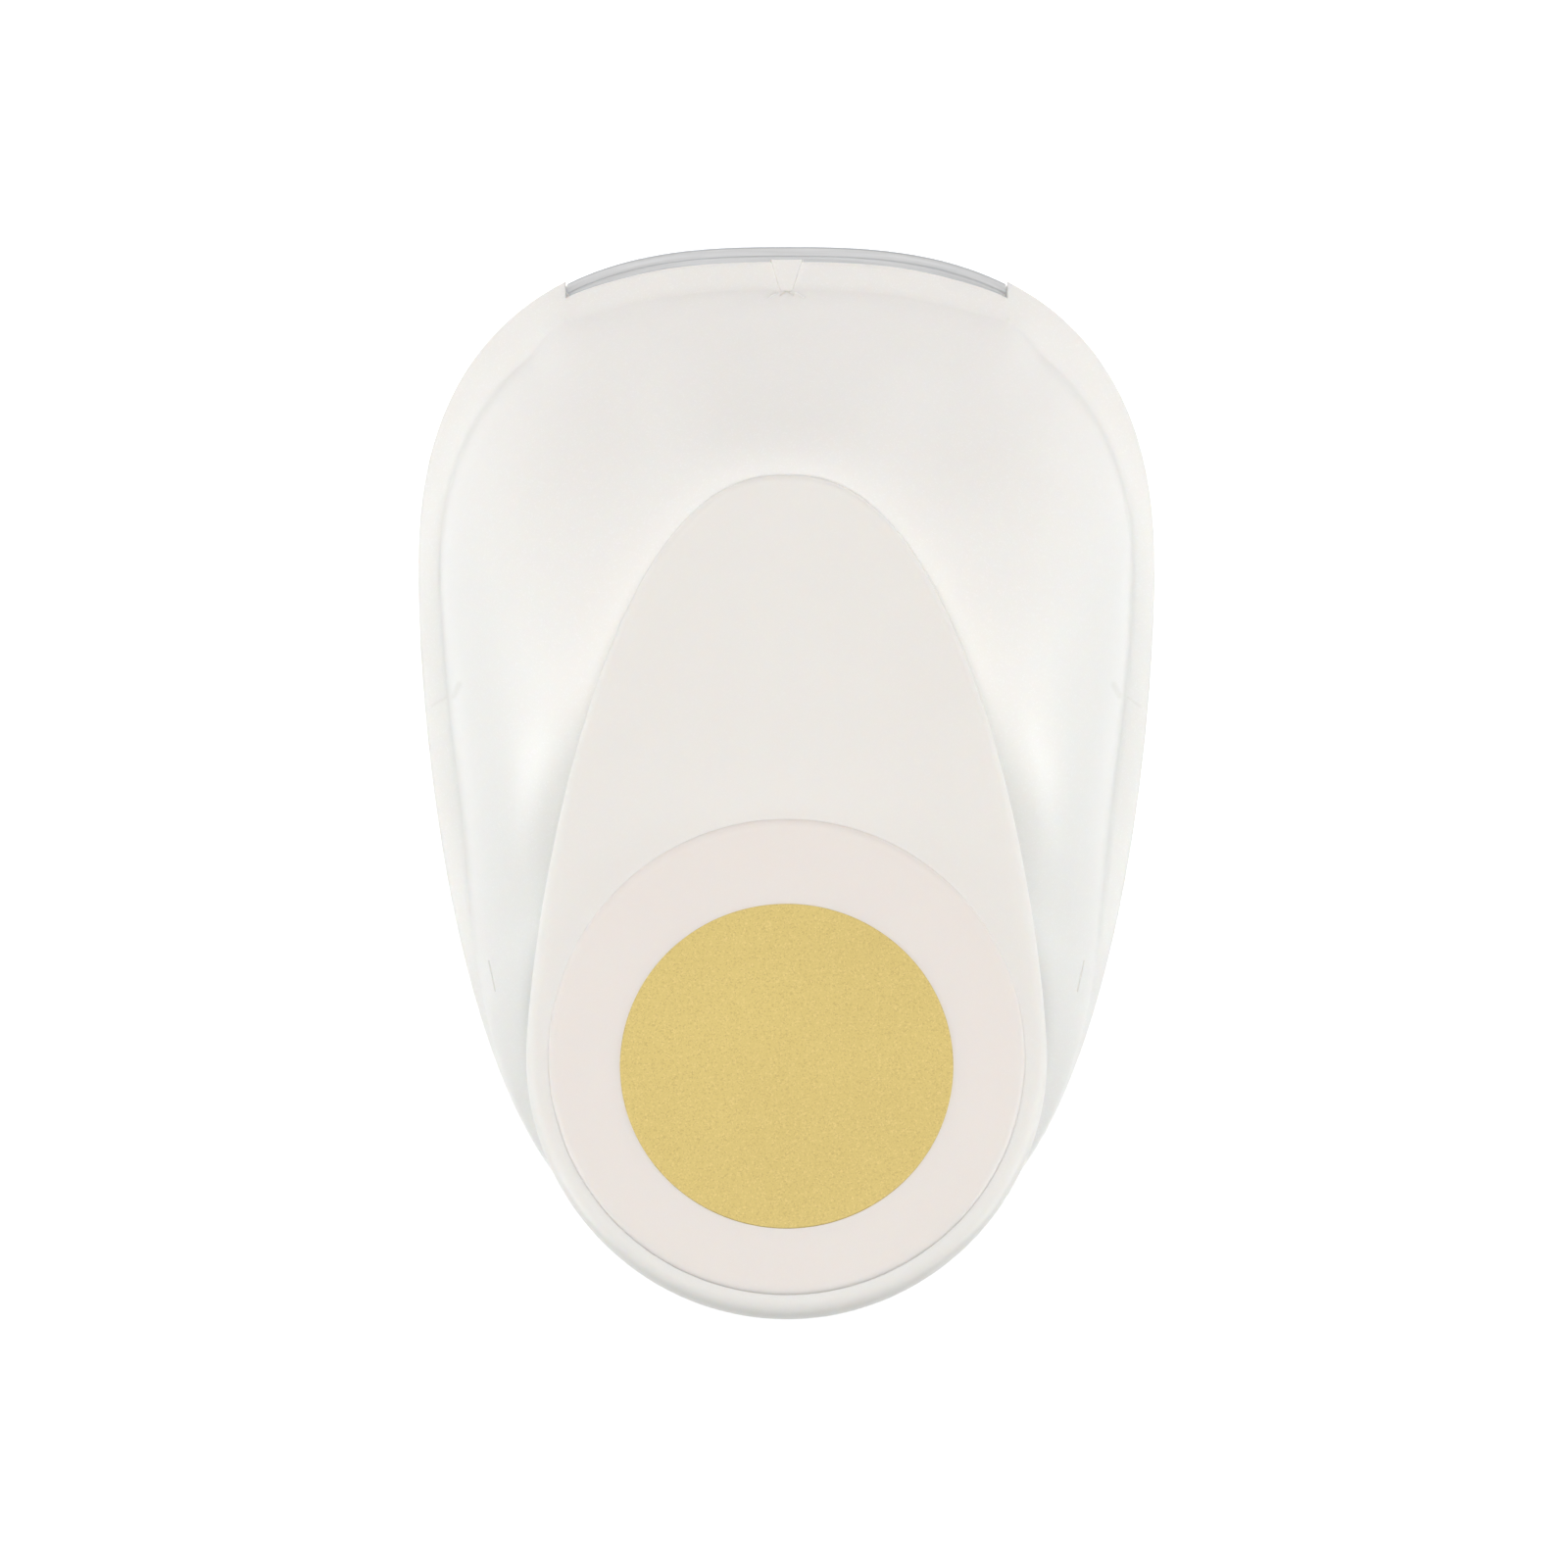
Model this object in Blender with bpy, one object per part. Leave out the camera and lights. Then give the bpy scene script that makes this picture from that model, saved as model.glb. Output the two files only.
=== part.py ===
"""Circle punch: a lever craft punch, with a steel die set in a two-part moulded housing.

Metres, +Z up. The paper mouth faces -Y, the thumb pad is at +Y, and X = 0 is the plane of symmetry.
The origin is the middle of the footprint, on the surface that the punch stands on.
"""

import math

import bmesh
import bpy
import numpy as np
from mathutils import Matrix

# Housing outline, seen from above
OVERALL_LENGTH = 0.1101
HOUSING_SIDE = 0.0199
FRONT_REACH = 0.0350
LEVER_OVERHANG = 0.0031
FRONT_CURVE_POWERS = (2.4, 2.7)
TAIL_CURVE_POWERS = (1.7, 3.5)

# Heights of the housing
BASE_HEIGHT = 0.0092
SLOT_HEIGHT = 0.0020
RIM_WALL_HEIGHT = 0.0022
DOME_HEIGHT = 0.0406
TAIL_HEIGHT = 0.0180
DOME_DROP_START = 0.0646
DOME_DROP_END = 0.0166

# Rim of the upper shell, at the mouth and at the sides
LIP_WIDTH = 0.0050
LIP_RISE = 0.0026
RIM_WIDTH = 0.0028
RIM_RISE = 0.0014
RIM_ROUND = 0.0006
RIM_FADE_START = 0.0536
RIM_FADE_END = 0.0166
RIM_FADE_SHARE = 0.92
LIP_SETBACK = 0.0020
LIP_WALL = 0.0046
SIDE_WALL = 0.0019
TAIL_WALL = 0.0022
SHELL_THICKNESS = 0.0018
OPENING_EDGE = 0.0022
FRONT_DOME_POWERS = (1.5, 1.0)
SIDE_DOME_POWERS = (2.0, 2.0)
REAR_DOME_FULL = 1.2
REAR_DOME_START = 0.0570
REAR_DOME_END = 0.0390
DOME_CROWDING = 1.6
LIP_BLEND_ANGLES = (math.radians(20.0), math.radians(60.0))

# Base tray
TRAY_WALL = 0.0020
TRAY_FLOOR = 0.0022
TRAY_DRAFT = 0.0016
TRAY_CHAMFER = 0.0010
TRAY_CHAMFER_INSET = 0.0006
CHIP_ROOM = 0.0025
DIE_SEAT_WALL = 0.0030

# Punch, die and guide
PUNCH_DIAMETER = 0.0380
MOUTH_TO_HOLE = 0.0080
HOLE_TO_SLOT_END = 0.0022
DIE_SIDE = 0.0043
DIE_THICKNESS = 0.0016
GUIDE_THICKNESS = 0.0018
GUIDE_SIDE = 0.0017
GUIDE_FRONT_INSET = 0.0050
FRAME_TAIL = 0.0093
PUNCH_HEIGHT = 0.0034
PUNCH_RIM = 0.0020
PUNCH_RECESS = 0.0015
SLIDING_FIT = 0.0002
SPACER_LENGTH = 0.0090
SPACER_SIDE = 0.0013
SPACER_SLOT_MARGIN = 0.0006

# Carrier that joins the punch to its guide posts and springs
CARRIER_THICKNESS = 0.0017
CARRIER_ARM_WIDTH = 0.0090
RISER_EDGE = 0.0022
RISER_THICKNESS = 0.0018
WING_HEIGHT = 0.0055
WING_THICKNESS = 0.0020
WING_BORE_WALL = 0.0007
SPRING_TO_PUNCH = 0.0005
POST_RADIUS = 0.0020
POST_SHOULDER = 0.0010
POST_SHOULDER_HEIGHT = 0.0007
POST_TIP = 0.0008
BUSH_WALL = 0.0008
BUSH_FLANGE = 0.0008
BUSH_FLANGE_HEIGHT = 0.0005
CLIP_THICKNESS = 0.0006
CLIP_WALL = 0.0011

# Return springs
SPRING_WIRE = 0.0008
SPRING_CLEARANCE = 0.0010
SPRING_TURNS = 4
POINTS_PER_TURN = 10
LEAST_COIL_GAP = 0.0004

# Lever pivot and arm
PIVOT_INSET = 0.0080
PIVOT_RISE = 0.0045
PIN_RADIUS = 0.0015
PIN_OVERHANG = 0.0010
EAR_RADIUS = 0.0026
EAR_THICKNESS = 0.0017
EYE_RADIUS = 0.0023
ARM_WIDTH = 0.0160
ARM_SHEET = 0.0015
ARM_TO_PAD = 0.0086
ARM_TAIL_DEPTH = 0.0055
PRESS_BEHIND_PUNCH = 0.0030
PRESS_EYE_RADIUS = 0.0021
ROLLER_RADIUS = 0.0023
ROLLER_BORE_FIT = 0.0002

# Lever shell
LEVER_WIDTH = 0.0520
APEX_SETBACK = 0.0256
LEVER_TONGUE_POWERS = (1.49, 2.34)
ROUND_POWERS = (2.0, 2.0)
LEVER_TILT = math.radians(15.0)
LEVER_APEX_HEIGHT = 0.0420
LEVER_WALL = 0.0020
LEVER_TOP = 0.0030
LEVER_EDGE_ROUND = 0.0016
LEVER_EDGE_DROP = 0.0018
APEX_EDGE_SHARE = 0.25
REAR_EDGE_GROWTH_SHARE = 0.35
LEVER_FLANGE = 0.0006
LEVER_FLANGE_HEIGHT = 0.0005
LEVER_CLEARANCE = 0.0004
SKIRT_FRONT_HEIGHT = 0.0262
SKIRT_REAR_HEIGHT = 0.0400
SKIRT_RISE_START = 0.0406
SKIRT_RISE_END = 0.0126

# Thumb pad and its inlaid disc
PAD_SHARE = 0.907
PAD_STRETCH_SHARE = 1.02
PAD_POCKET_DEPTH = 0.0014
PAD_PROUD = 0.0012
PAD_ROUND = 0.0006
GOLD_SHARE = 0.703
GOLD_RECESS = 0.0006
GOLD_THICKNESS = 0.0005
GOLD_OFFSET = 0.0008

# Alignment pointer on the lip, and snap slits in the rim
POINTER_FRONT_WIDTH = 0.0034
POINTER_REAR_WIDTH = 0.0016
POINTER_LENGTH = 0.0034
POINTER_HEIGHT = 0.0004
POINTER_OVERHANG = 0.0002
POINTER_ROOT = 0.0012
SLIT_TO_REAR = 0.0330
SLIT_LENGTH = 0.0036
SLIT_WIDTH = 0.0004
SLIT_DEPTH = 0.0012

# Fasteners
SCREW_SHANK = 0.0011
SCREW_HEAD = 0.0022
SCREW_HEAD_HEIGHT = 0.0014
SCREW_COUNTERBORE_DEPTH = 0.0020
SCREW_DRIVE = 0.0007
SCREW_DRIVE_DEPTH = 0.0007
BOSS_RADIUS = 0.0034
BOSS_START = 0.0012
BOSS_WALL_OVERLAP = 0.0009
SCREW_TO_FRAME = 0.0010
REAR_SCREW_SETBACK = 0.0166
FRONT_BOSS_LENGTH = 0.0040
REAR_BOSS_LENGTH = 0.0055
SCREW_END_COVER = 0.0006
RIVET_SHANK = 0.0012
RIVET_HEAD = 0.0021
RIVET_HEAD_HEIGHT = 0.0008
RIVET_CROWN_SHARE = 0.33
RIVET_INSET = 0.0020
ARM_SCREW_REACHES = (0.0142, 0.0282)
ARM_SCREW_DEPTH = 0.0019
CARRIER_SCREW_SHANK = 0.0009
CARRIER_SCREW_HEAD = 0.0018
CARRIER_SCREW_HEAD_HEIGHT = 0.0010

# Where the arm's outline runs round its eyes
EYE_ARC = (math.radians(125.0), math.radians(310.0))
PRESS_EYE_ARC = (math.radians(250.0), math.radians(320.0))

# Gaps and overruns
SEAT_GAP = 0.0003
OVERRUN = 0.0020

# Facets: counts, and the angle below which shading is smooth
SHELL_SECTIONS = 88
TRAY_SECTIONS = 60
LEVER_SECTIONS = 64
DENSE_POINTS = 1440
DOME_STEPS = 7
INNER_STEPS = 5
HOLE_SIDES = 48
PIN_SIDES = 16
HEAD_SIDES = 12
SOCKET_SIDES = 6
EAR_STEPS = 9
EYE_STEPS = 10
PRESS_EYE_STEPS = 4
EDGE_STEPS = 3
MOUTH_EDGE_STRIDE = 8
SMOOTH_ANGLE = math.radians(35.0)

# Places worked out from the sizes above
FRONT_Y = -OVERALL_LENGTH / 2
REAR_Y = OVERALL_LENGTH / 2
WIDEST_Y = FRONT_Y + FRONT_REACH
TAIL_REACH = REAR_Y - LEVER_OVERHANG - WIDEST_Y
PUNCH_RADIUS = PUNCH_DIAMETER / 2
BODY_WIDTH = PUNCH_DIAMETER + 2 * HOUSING_SIDE
PIVOT_TO_PUNCH = PUNCH_RADIUS - PIVOT_INSET
PUNCH_Y = FRONT_Y + MOUTH_TO_HOLE + PUNCH_RADIUS
SLOT_END_Y = PUNCH_Y + PUNCH_RADIUS + HOLE_TO_SLOT_END
FRAME_END_Y = SLOT_END_Y + FRAME_TAIL
SLOT_TOP_Z = BASE_HEIGHT + SLOT_HEIGHT
DIE_BOTTOM_Z = BASE_HEIGHT - DIE_THICKNESS
GUIDE_TOP_Z = SLOT_TOP_Z + GUIDE_THICKNESS
RIM_TOP_Z = SLOT_TOP_Z + RIM_WALL_HEIGHT
SHELL_BOTTOM_Z = BASE_HEIGHT + SEAT_GAP
PUNCH_BOTTOM_Z = SLOT_TOP_Z + SEAT_GAP
PUNCH_TOP_Z = PUNCH_BOTTOM_Z + PUNCH_HEIGHT
CARRIER_BOTTOM_Z = PUNCH_TOP_Z + SEAT_GAP
CARRIER_TOP_Z = CARRIER_BOTTOM_Z + CARRIER_THICKNESS
WING_BOTTOM_Z = CARRIER_TOP_Z + WING_HEIGHT
WING_TOP_Z = WING_BOTTOM_Z + WING_THICKNESS
POST_X = PUNCH_RADIUS + SPRING_TO_PUNCH + SPRING_WIRE + SPRING_CLEARANCE + POST_RADIUS
DIE_WIDTH = PUNCH_DIAMETER + 2 * DIE_SIDE
GUIDE_WIDTH = 2 * (POST_X + POST_RADIUS + GUIDE_SIDE)
CHIP_HOLE_RADIUS = PUNCH_RADIUS + CHIP_ROOM
SPACER_OUTER = DIE_WIDTH / 2 - SPACER_SIDE
SPACER_INNER = SPACER_OUTER - SPACER_LENGTH
CARRIER_SCREW_PLACE = ARM_WIDTH / 2 + SEAT_GAP + CARRIER_SCREW_HEAD
EAR_HOLE_OFFSET = PIVOT_TO_PUNCH - EAR_RADIUS
EAR_INNER = math.sqrt((PUNCH_RADIUS + SLIDING_FIT) ** 2 - EAR_HOLE_OFFSET**2) + SEAT_GAP
PIVOT_HEIGHT = GUIDE_TOP_Z + PIVOT_RISE
RISER_OUTER = PUNCH_RADIUS - RISER_EDGE
RISER_INNER = RISER_OUTER - RISER_THICKNESS
FRONT_SCREW_Y = FRAME_END_Y + SCREW_TO_FRAME + BOSS_RADIUS
REAR_SCREW_Y = REAR_Y - REAR_SCREW_SETBACK
PIVOT_Y = PUNCH_Y - PIVOT_TO_PUNCH
PRESS_Y = PUNCH_Y + PRESS_BEHIND_PUNCH
PRESS_Z = CARRIER_TOP_Z + SEAT_GAP + ROLLER_RADIUS
LEVER_RADIUS = LEVER_WIDTH / 2
PAD_Y = REAR_Y - LEVER_RADIUS
APEX_Y = FRONT_Y + APEX_SETBACK
PAD_RADIUS = LEVER_RADIUS * PAD_SHARE
GOLD_RADIUS = PAD_RADIUS * GOLD_SHARE
ARM_TAIL_Y = PAD_Y - ARM_TO_PAD
SLIT_Y = REAR_Y - SLIT_TO_REAR


def make_finish(name, colour, roughness, metallic=0.0):
    """Return a Principled material."""
    finish = bpy.data.materials.new(name)
    finish.use_nodes = True
    shader = finish.node_tree.nodes["Principled BSDF"]
    shader.inputs["Base Color"].default_value = (*colour, 1.0)
    shader.inputs["Roughness"].default_value = roughness
    shader.inputs["Metallic"].default_value = metallic
    return finish


def white_plastic(name):
    """The pearly white moulded plastic of the housing and lever."""
    return make_finish(name, (0.83, 0.81, 0.78), 0.35)


def plated_steel(name):
    """Bright plated steel, as on the die set and the fasteners."""
    return make_finish(name, (0.62, 0.62, 0.62), 0.3, 1.0)


def smooth_step(value, start, end):
    """Rise from 0 at start to 1 at end, level at both ends."""
    share = np.clip((value - start) / (end - start), 0, 1)
    return share * share * (3 - 2 * share)


def egg_loop(half_width, middle_y, front_reach, front_powers, rear_reach, rear_powers, count=DENSE_POINTS):
    """Closed outline made of two half superellipses that meet on the widest line."""
    turn = np.linspace(0, 2 * math.pi, count, endpoint=False)
    across = np.cos(turn)
    along = np.sin(turn)
    rear = along > 0
    reach = np.where(rear, rear_reach, front_reach)
    along_power = np.where(rear, 2 / rear_powers[0], 2 / front_powers[0])
    across_power = np.where(rear, 2 / rear_powers[1], 2 / front_powers[1])
    x = half_width * np.sign(across) * np.abs(across) ** across_power
    y = middle_y + reach * np.sign(along) * np.abs(along) ** along_power
    return np.stack([x, y], axis=1)


def resample(loop, count):
    """Closed loop with points at equal steps along its length, starting at the frontmost point."""
    start = int(np.argmin(loop[:, 1]))
    turned = np.roll(loop, -start, axis=0)
    closed = np.vstack([turned, turned[:1]])
    run = np.concatenate([[0], np.cumsum(np.linalg.norm(np.diff(closed, axis=0), axis=1))])
    wanted = np.linspace(0, run[-1], count, endpoint=False)
    x = np.interp(wanted, run, closed[:, 0])
    y = np.interp(wanted, run, closed[:, 1])
    return np.stack([x, y], axis=1)


def inset_loop(loop, distance):
    """Move each point of a counter-clockwise loop inward by distance."""
    forward = np.roll(loop, -1, axis=0) - np.roll(loop, 1, axis=0)
    forward = forward / np.linalg.norm(forward, axis=1)[:, None]
    inward = np.stack([-forward[:, 1], forward[:, 0]], axis=1)
    return loop + inward * distance


def radius_along(loop, angles):
    """Distance from the origin to a loop round it, in each direction."""
    polar = np.arctan2(loop[:, 1], loop[:, 0])
    order = np.argsort(polar)
    radii = np.linalg.norm(loop, axis=1)
    return np.interp(angles, polar[order], radii[order], period=2 * math.pi)


def y_of_half_width(loop, half_width):
    """Frontmost place where a loop, symmetric about X = 0, is as wide as asked."""
    wide = loop[loop[:, 0] >= half_width]
    return float(wide[:, 1].min())


def body_loop(count):
    """Outline of the housing, with points at equal steps."""
    half = BODY_WIDTH / 2
    dense = egg_loop(half, WIDEST_Y, FRONT_REACH, FRONT_CURVE_POWERS, TAIL_REACH, TAIL_CURVE_POWERS)
    return resample(dense, count)


def lever_loop(count):
    """Outline of the lever skirt: a tongue that widens into a round end."""
    dense = egg_loop(LEVER_RADIUS, PAD_Y, PAD_Y - APEX_Y, LEVER_TONGUE_POWERS, LEVER_RADIUS, ROUND_POWERS)
    return resample(dense, count)


def lever_plane_z(y):
    """Height of the lever's sloping top face."""
    return LEVER_APEX_HEIGHT + (y - APEX_Y) * math.tan(LEVER_TILT)


def skirt_z(y):
    """Height of the lever skirt's lower edge, which rises towards the round end."""
    return SKIRT_FRONT_HEIGHT + (SKIRT_REAR_HEIGHT - SKIRT_FRONT_HEIGHT) * smooth_step(
        y, REAR_Y - SKIRT_RISE_START, REAR_Y - SKIRT_RISE_END
    )


def with_height(loop, height):
    """Loop of 3-D points, with one height or one for each point."""
    heights = np.broadcast_to(height, (len(loop),))
    return np.column_stack([loop, heights])


def add_rings(mesh, rings, wrap=False):
    """Join a list of equal rings by quads; wrap joins the last to the first, else both ends are capped."""
    loops = [[mesh.verts.new(point) for point in ring] for ring in rings]
    size = len(loops[0])
    pairs = list(zip(loops[:-1], loops[1:]))
    if wrap:
        pairs.append((loops[-1], loops[0]))
    faces = []
    for first, second in pairs:
        for k in range(size):
            after = (k + 1) % size
            faces.append(mesh.faces.new((first[k], first[after], second[after], second[k])))
    if not wrap:
        faces.append(mesh.faces.new(list(reversed(loops[0]))))
        faces.append(mesh.faces.new(loops[-1]))
    bmesh.ops.recalc_face_normals(mesh, faces=faces)


def add_prism(mesh, outline, low, high):
    """Straight prism along Z over a plan outline."""
    add_rings(mesh, [with_height(outline, low), with_height(outline, high)])


def add_side_prism(mesh, outline, low, high):
    """Straight prism along X over an outline of (y, z) points."""
    points = np.asarray(outline)
    ends = [np.column_stack([np.full(len(points), x), points]) for x in (low, high)]
    add_rings(mesh, ends)


def circle(radius, sides, centre=(0, 0)):
    """Plan points of a circle."""
    turn = np.linspace(0, 2 * math.pi, sides, endpoint=False)
    return np.stack([centre[0] + radius * np.cos(turn), centre[1] + radius * np.sin(turn)], axis=1)


def arc(centre, radius, start, end, steps):
    """Points of an arc from one angle to another."""
    return [
        (centre[0] + radius * math.cos(a), centre[1] + radius * math.sin(a))
        for a in np.linspace(start, end, steps)
    ]


def add_cylinder(mesh, radius, low, high, centre=(0, 0), sides=PIN_SIDES):
    """Upright cylinder."""
    add_prism(mesh, circle(radius, sides, centre), low, high)


def add_cross_cylinder(mesh, radius, low, high, centre, sides=PIN_SIDES):
    """Cylinder along X round a (y, z) centre."""
    add_side_prism(mesh, circle(radius, sides, centre), low, high)


def add_turned(mesh, profile, centre=(0, 0), sides=PIN_SIDES):
    """Solid turned round an upright axis from (radius, height) points that leave out the axis."""
    add_rings(mesh, [with_height(circle(radius, sides, centre), z) for radius, z in profile])


def pad_oval(radius):
    """Plan of the thumb pad: a circle drawn out a little along the lever."""
    return circle(radius, HOLE_SIDES) * np.array([1, PAD_STRETCH_SHARE])


def add_turned_ring(mesh, profile, centre=(0, 0), sides=PIN_SIDES):
    """Turned solid with a bore, from a closed profile."""
    add_rings(mesh, [with_height(circle(radius, sides, centre), z) for radius, z in profile], wrap=True)


def add_box(mesh, low, high):
    """Box between two corners."""
    outline = [(low[0], low[1]), (high[0], low[1]), (high[0], high[1]), (low[0], high[1])]
    add_prism(mesh, np.array(outline), low[2], high[2])


def to_object(name, mesh, finish=None):
    """Link a bmesh as a named object, smooth but for its sharper edges."""
    data = bpy.data.meshes.new(name)
    mesh.to_mesh(data)
    mesh.free()
    data.shade_smooth()
    data.set_sharp_from_angle(angle=SMOOTH_ANGLE)
    piece = bpy.data.objects.new(name, data)
    bpy.context.scene.collection.objects.link(piece)
    if finish is not None:
        data.materials.append(finish)
    return piece


def as_tool(name, mesh):
    """Link a bmesh as a hidden shape for a Boolean."""
    tool = to_object(name, mesh)
    tool.hide_render = True
    tool.display_type = "WIRE"
    return tool


def combine(piece, tool, operation):
    """Join or cut a piece with a hidden shape."""
    step = piece.modifiers.new(tool.name, "BOOLEAN")
    step.operation = operation
    step.solver = "EXACT"
    step.object = tool
    if tool.parent is None:
        tool.parent = piece


def add_empty(name, place):
    """Empty that carries pieces."""
    holder = bpy.data.objects.new(name, None)
    holder.location = place
    bpy.context.scene.collection.objects.link(holder)
    return holder


def carry(holder_name, piece):
    """Hang a piece on a joint's empty and leave it where it is."""
    holder = bpy.data.objects[holder_name]
    piece.parent = holder
    piece.matrix_parent_inverse = Matrix.Translation(-holder.location)
    return piece


def add_joint_frames():
    """Empties on the axes of the two joints, and one at the pad centre whose Z leaves the lever's face."""
    add_empty("lever_axis", (0, PIVOT_Y, PIVOT_HEIGHT))
    add_empty("punch_axis", (0, PUNCH_Y, PUNCH_BOTTOM_Z))
    pad = add_empty("pad_frame", (0, PAD_Y, lever_plane_z(PAD_Y)))
    pad.rotation_euler = (LEVER_TILT, 0, 0)
    carry("lever_axis", pad)


def screw_places():
    """Centres of the housing screws, each close enough to the side wall for its boss to join it."""
    body = body_loop(DENSE_POINTS)
    places = []
    front = (FRONT_SCREW_Y, SHELL_BOTTOM_Z + FRONT_BOSS_LENGTH)
    rear = (REAR_SCREW_Y, SHELL_BOTTOM_Z + REAR_BOSS_LENGTH)
    for y, top in (front, rear):
        right = body[(body[:, 0] > 0)]
        wall_x = right[np.argmin(np.abs(right[:, 1] - y)), 0]
        x = wall_x - SIDE_WALL - BOSS_RADIUS + BOSS_WALL_OVERLAP
        places.append((x, y, top))
        places.append((-x, y, top))
    return places


def rim_share(y):
    """Width of the rim as a share of its full width: it narrows towards the tail."""
    return 1 - RIM_FADE_SHARE * float(smooth_step(y, REAR_Y - RIM_FADE_START, REAR_Y - RIM_FADE_END))


def shell_sections():
    """Cross-sections of the upper shell, as one closed profile in each direction from the origin.

    Each profile climbs the outside from the seam to the lever opening, over the rim and the dome, and
    comes back down the inside. The dome follows a superellipse that is full at the sides, slopes at
    the mouth, and stays steep up to the opening at the rear.
    """
    outer_loop = body_loop(SHELL_SECTIONS)
    angles = np.arctan2(outer_loop[:, 1], outer_loop[:, 0])
    outer_radius = np.linalg.norm(outer_loop, axis=1)
    opening = inset_loop(lever_loop(DENSE_POINTS), LEVER_FLANGE - LEVER_CLEARANCE)
    tail_limit = inset_loop(body_loop(DENSE_POINTS), TAIL_WALL)
    opening_radius = np.minimum(radius_along(opening, angles), radius_along(tail_limit, angles))
    sections = []
    for angle, radius, inner_radius in zip(angles, outer_radius, opening_radius):
        direction = np.array([math.cos(angle), math.sin(angle)])
        depth = radius - inner_radius
        from_front = abs(math.remainder(angle + math.pi / 2, 2 * math.pi))
        side = float(smooth_step(from_front, *LIP_BLEND_ANGLES))
        rim = (LIP_WIDTH + (RIM_WIDTH - LIP_WIDTH) * side) * rim_share(radius * direction[1])
        rim = min(rim, depth / 2)
        crease_z = RIM_TOP_Z + LIP_RISE + (RIM_RISE - LIP_RISE) * side
        edge_y = inner_radius * direction[1]
        drop = float(smooth_step(edge_y, REAR_Y - DOME_DROP_START, REAR_Y - DOME_DROP_END))
        edge_z = DOME_HEIGHT + (TAIL_HEIGHT - DOME_HEIGHT) * drop
        rear = float(smooth_step(edge_y, REAR_Y - REAR_DOME_START, REAR_Y - REAR_DOME_END))
        side_full = SIDE_DOME_POWERS[0] + (REAR_DOME_FULL - SIDE_DOME_POWERS[0]) * rear
        full = FRONT_DOME_POWERS[0] + (side_full - FRONT_DOME_POWERS[0]) * side
        root = FRONT_DOME_POWERS[1] + (SIDE_DOME_POWERS[1] - FRONT_DOME_POWERS[1]) * side
        wall = LIP_WALL + (SIDE_WALL - LIP_WALL) * side
        inner_start = min(rim + SIDE_WALL, (depth + wall) / 2)
        inner_crease = crease_z - SHELL_THICKNESS
        profile = [
            (0, SHELL_BOTTOM_Z),
            (0, RIM_TOP_Z - RIM_ROUND),
            (min(RIM_ROUND, rim / 2), RIM_TOP_Z),
            (rim, crease_z),
        ]
        for step in range(1, DOME_STEPS + 1):
            share = (step / DOME_STEPS) ** DOME_CROWDING
            climb = (1 - (1 - share) ** full) ** (1 / root)
            profile.append((rim + (depth - rim) * share, crease_z + (edge_z - crease_z) * climb))
        inner_top = edge_z - OPENING_EDGE
        for step in range(INNER_STEPS, -1, -1):
            share = (step / INNER_STEPS) ** DOME_CROWDING
            climb = (1 - (1 - share) ** full) ** (1 / root)
            reach = inner_start + (depth - inner_start) * share
            profile.append((reach, inner_crease + (inner_top - inner_crease) * climb))
        profile.append((wall, inner_crease - RIM_ROUND))
        profile.append((wall, SHELL_BOTTOM_Z))
        section = [(*(direction * (radius - reach)), z) for reach, z in profile]
        sections.append(section)
    return sections


def lip_setback(mesh):
    """Shape that sets the lip back behind the steel ledge."""
    half = DIE_WIDTH / 2
    edge = inset_loop(body_loop(DENSE_POINTS), LIP_SETBACK)
    front = edge[(np.abs(edge[:, 0]) < half) & (edge[:, 1] < WIDEST_Y)]
    front = front[np.argsort(front[:, 0])][::MOUTH_EDGE_STRIDE]
    side_y = np.interp(half, front[:, 0], front[:, 1])
    outline = [(-half, FRONT_Y - OVERRUN), (half, FRONT_Y - OVERRUN), (half, side_y)]
    outline += [tuple(point) for point in front[::-1][1:-1]]
    outline.append((-half, side_y))
    add_prism(mesh, np.array(outline), SHELL_BOTTOM_Z - OVERRUN, RIM_TOP_Z + LIP_RISE)


def alignment_pointer(mesh):
    """Raised pointer on the lip that tapers away from the mouth, its top parallel to the lip."""
    start_y = FRONT_Y + LIP_SETBACK - POINTER_OVERHANG
    slope = LIP_RISE / LIP_WIDTH
    rings = []
    for y, width in ((start_y, POINTER_FRONT_WIDTH), (start_y + POINTER_LENGTH, POINTER_REAR_WIDTH)):
        top_z = RIM_TOP_Z + (y - FRONT_Y) * slope + POINTER_HEIGHT
        root_z = top_z - POINTER_HEIGHT - POINTER_ROOT
        half = width / 2
        rings.append([(-half, y, root_z), (half, y, root_z), (half, y, top_z), (-half, y, top_z)])
    add_rings(mesh, rings)


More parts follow.
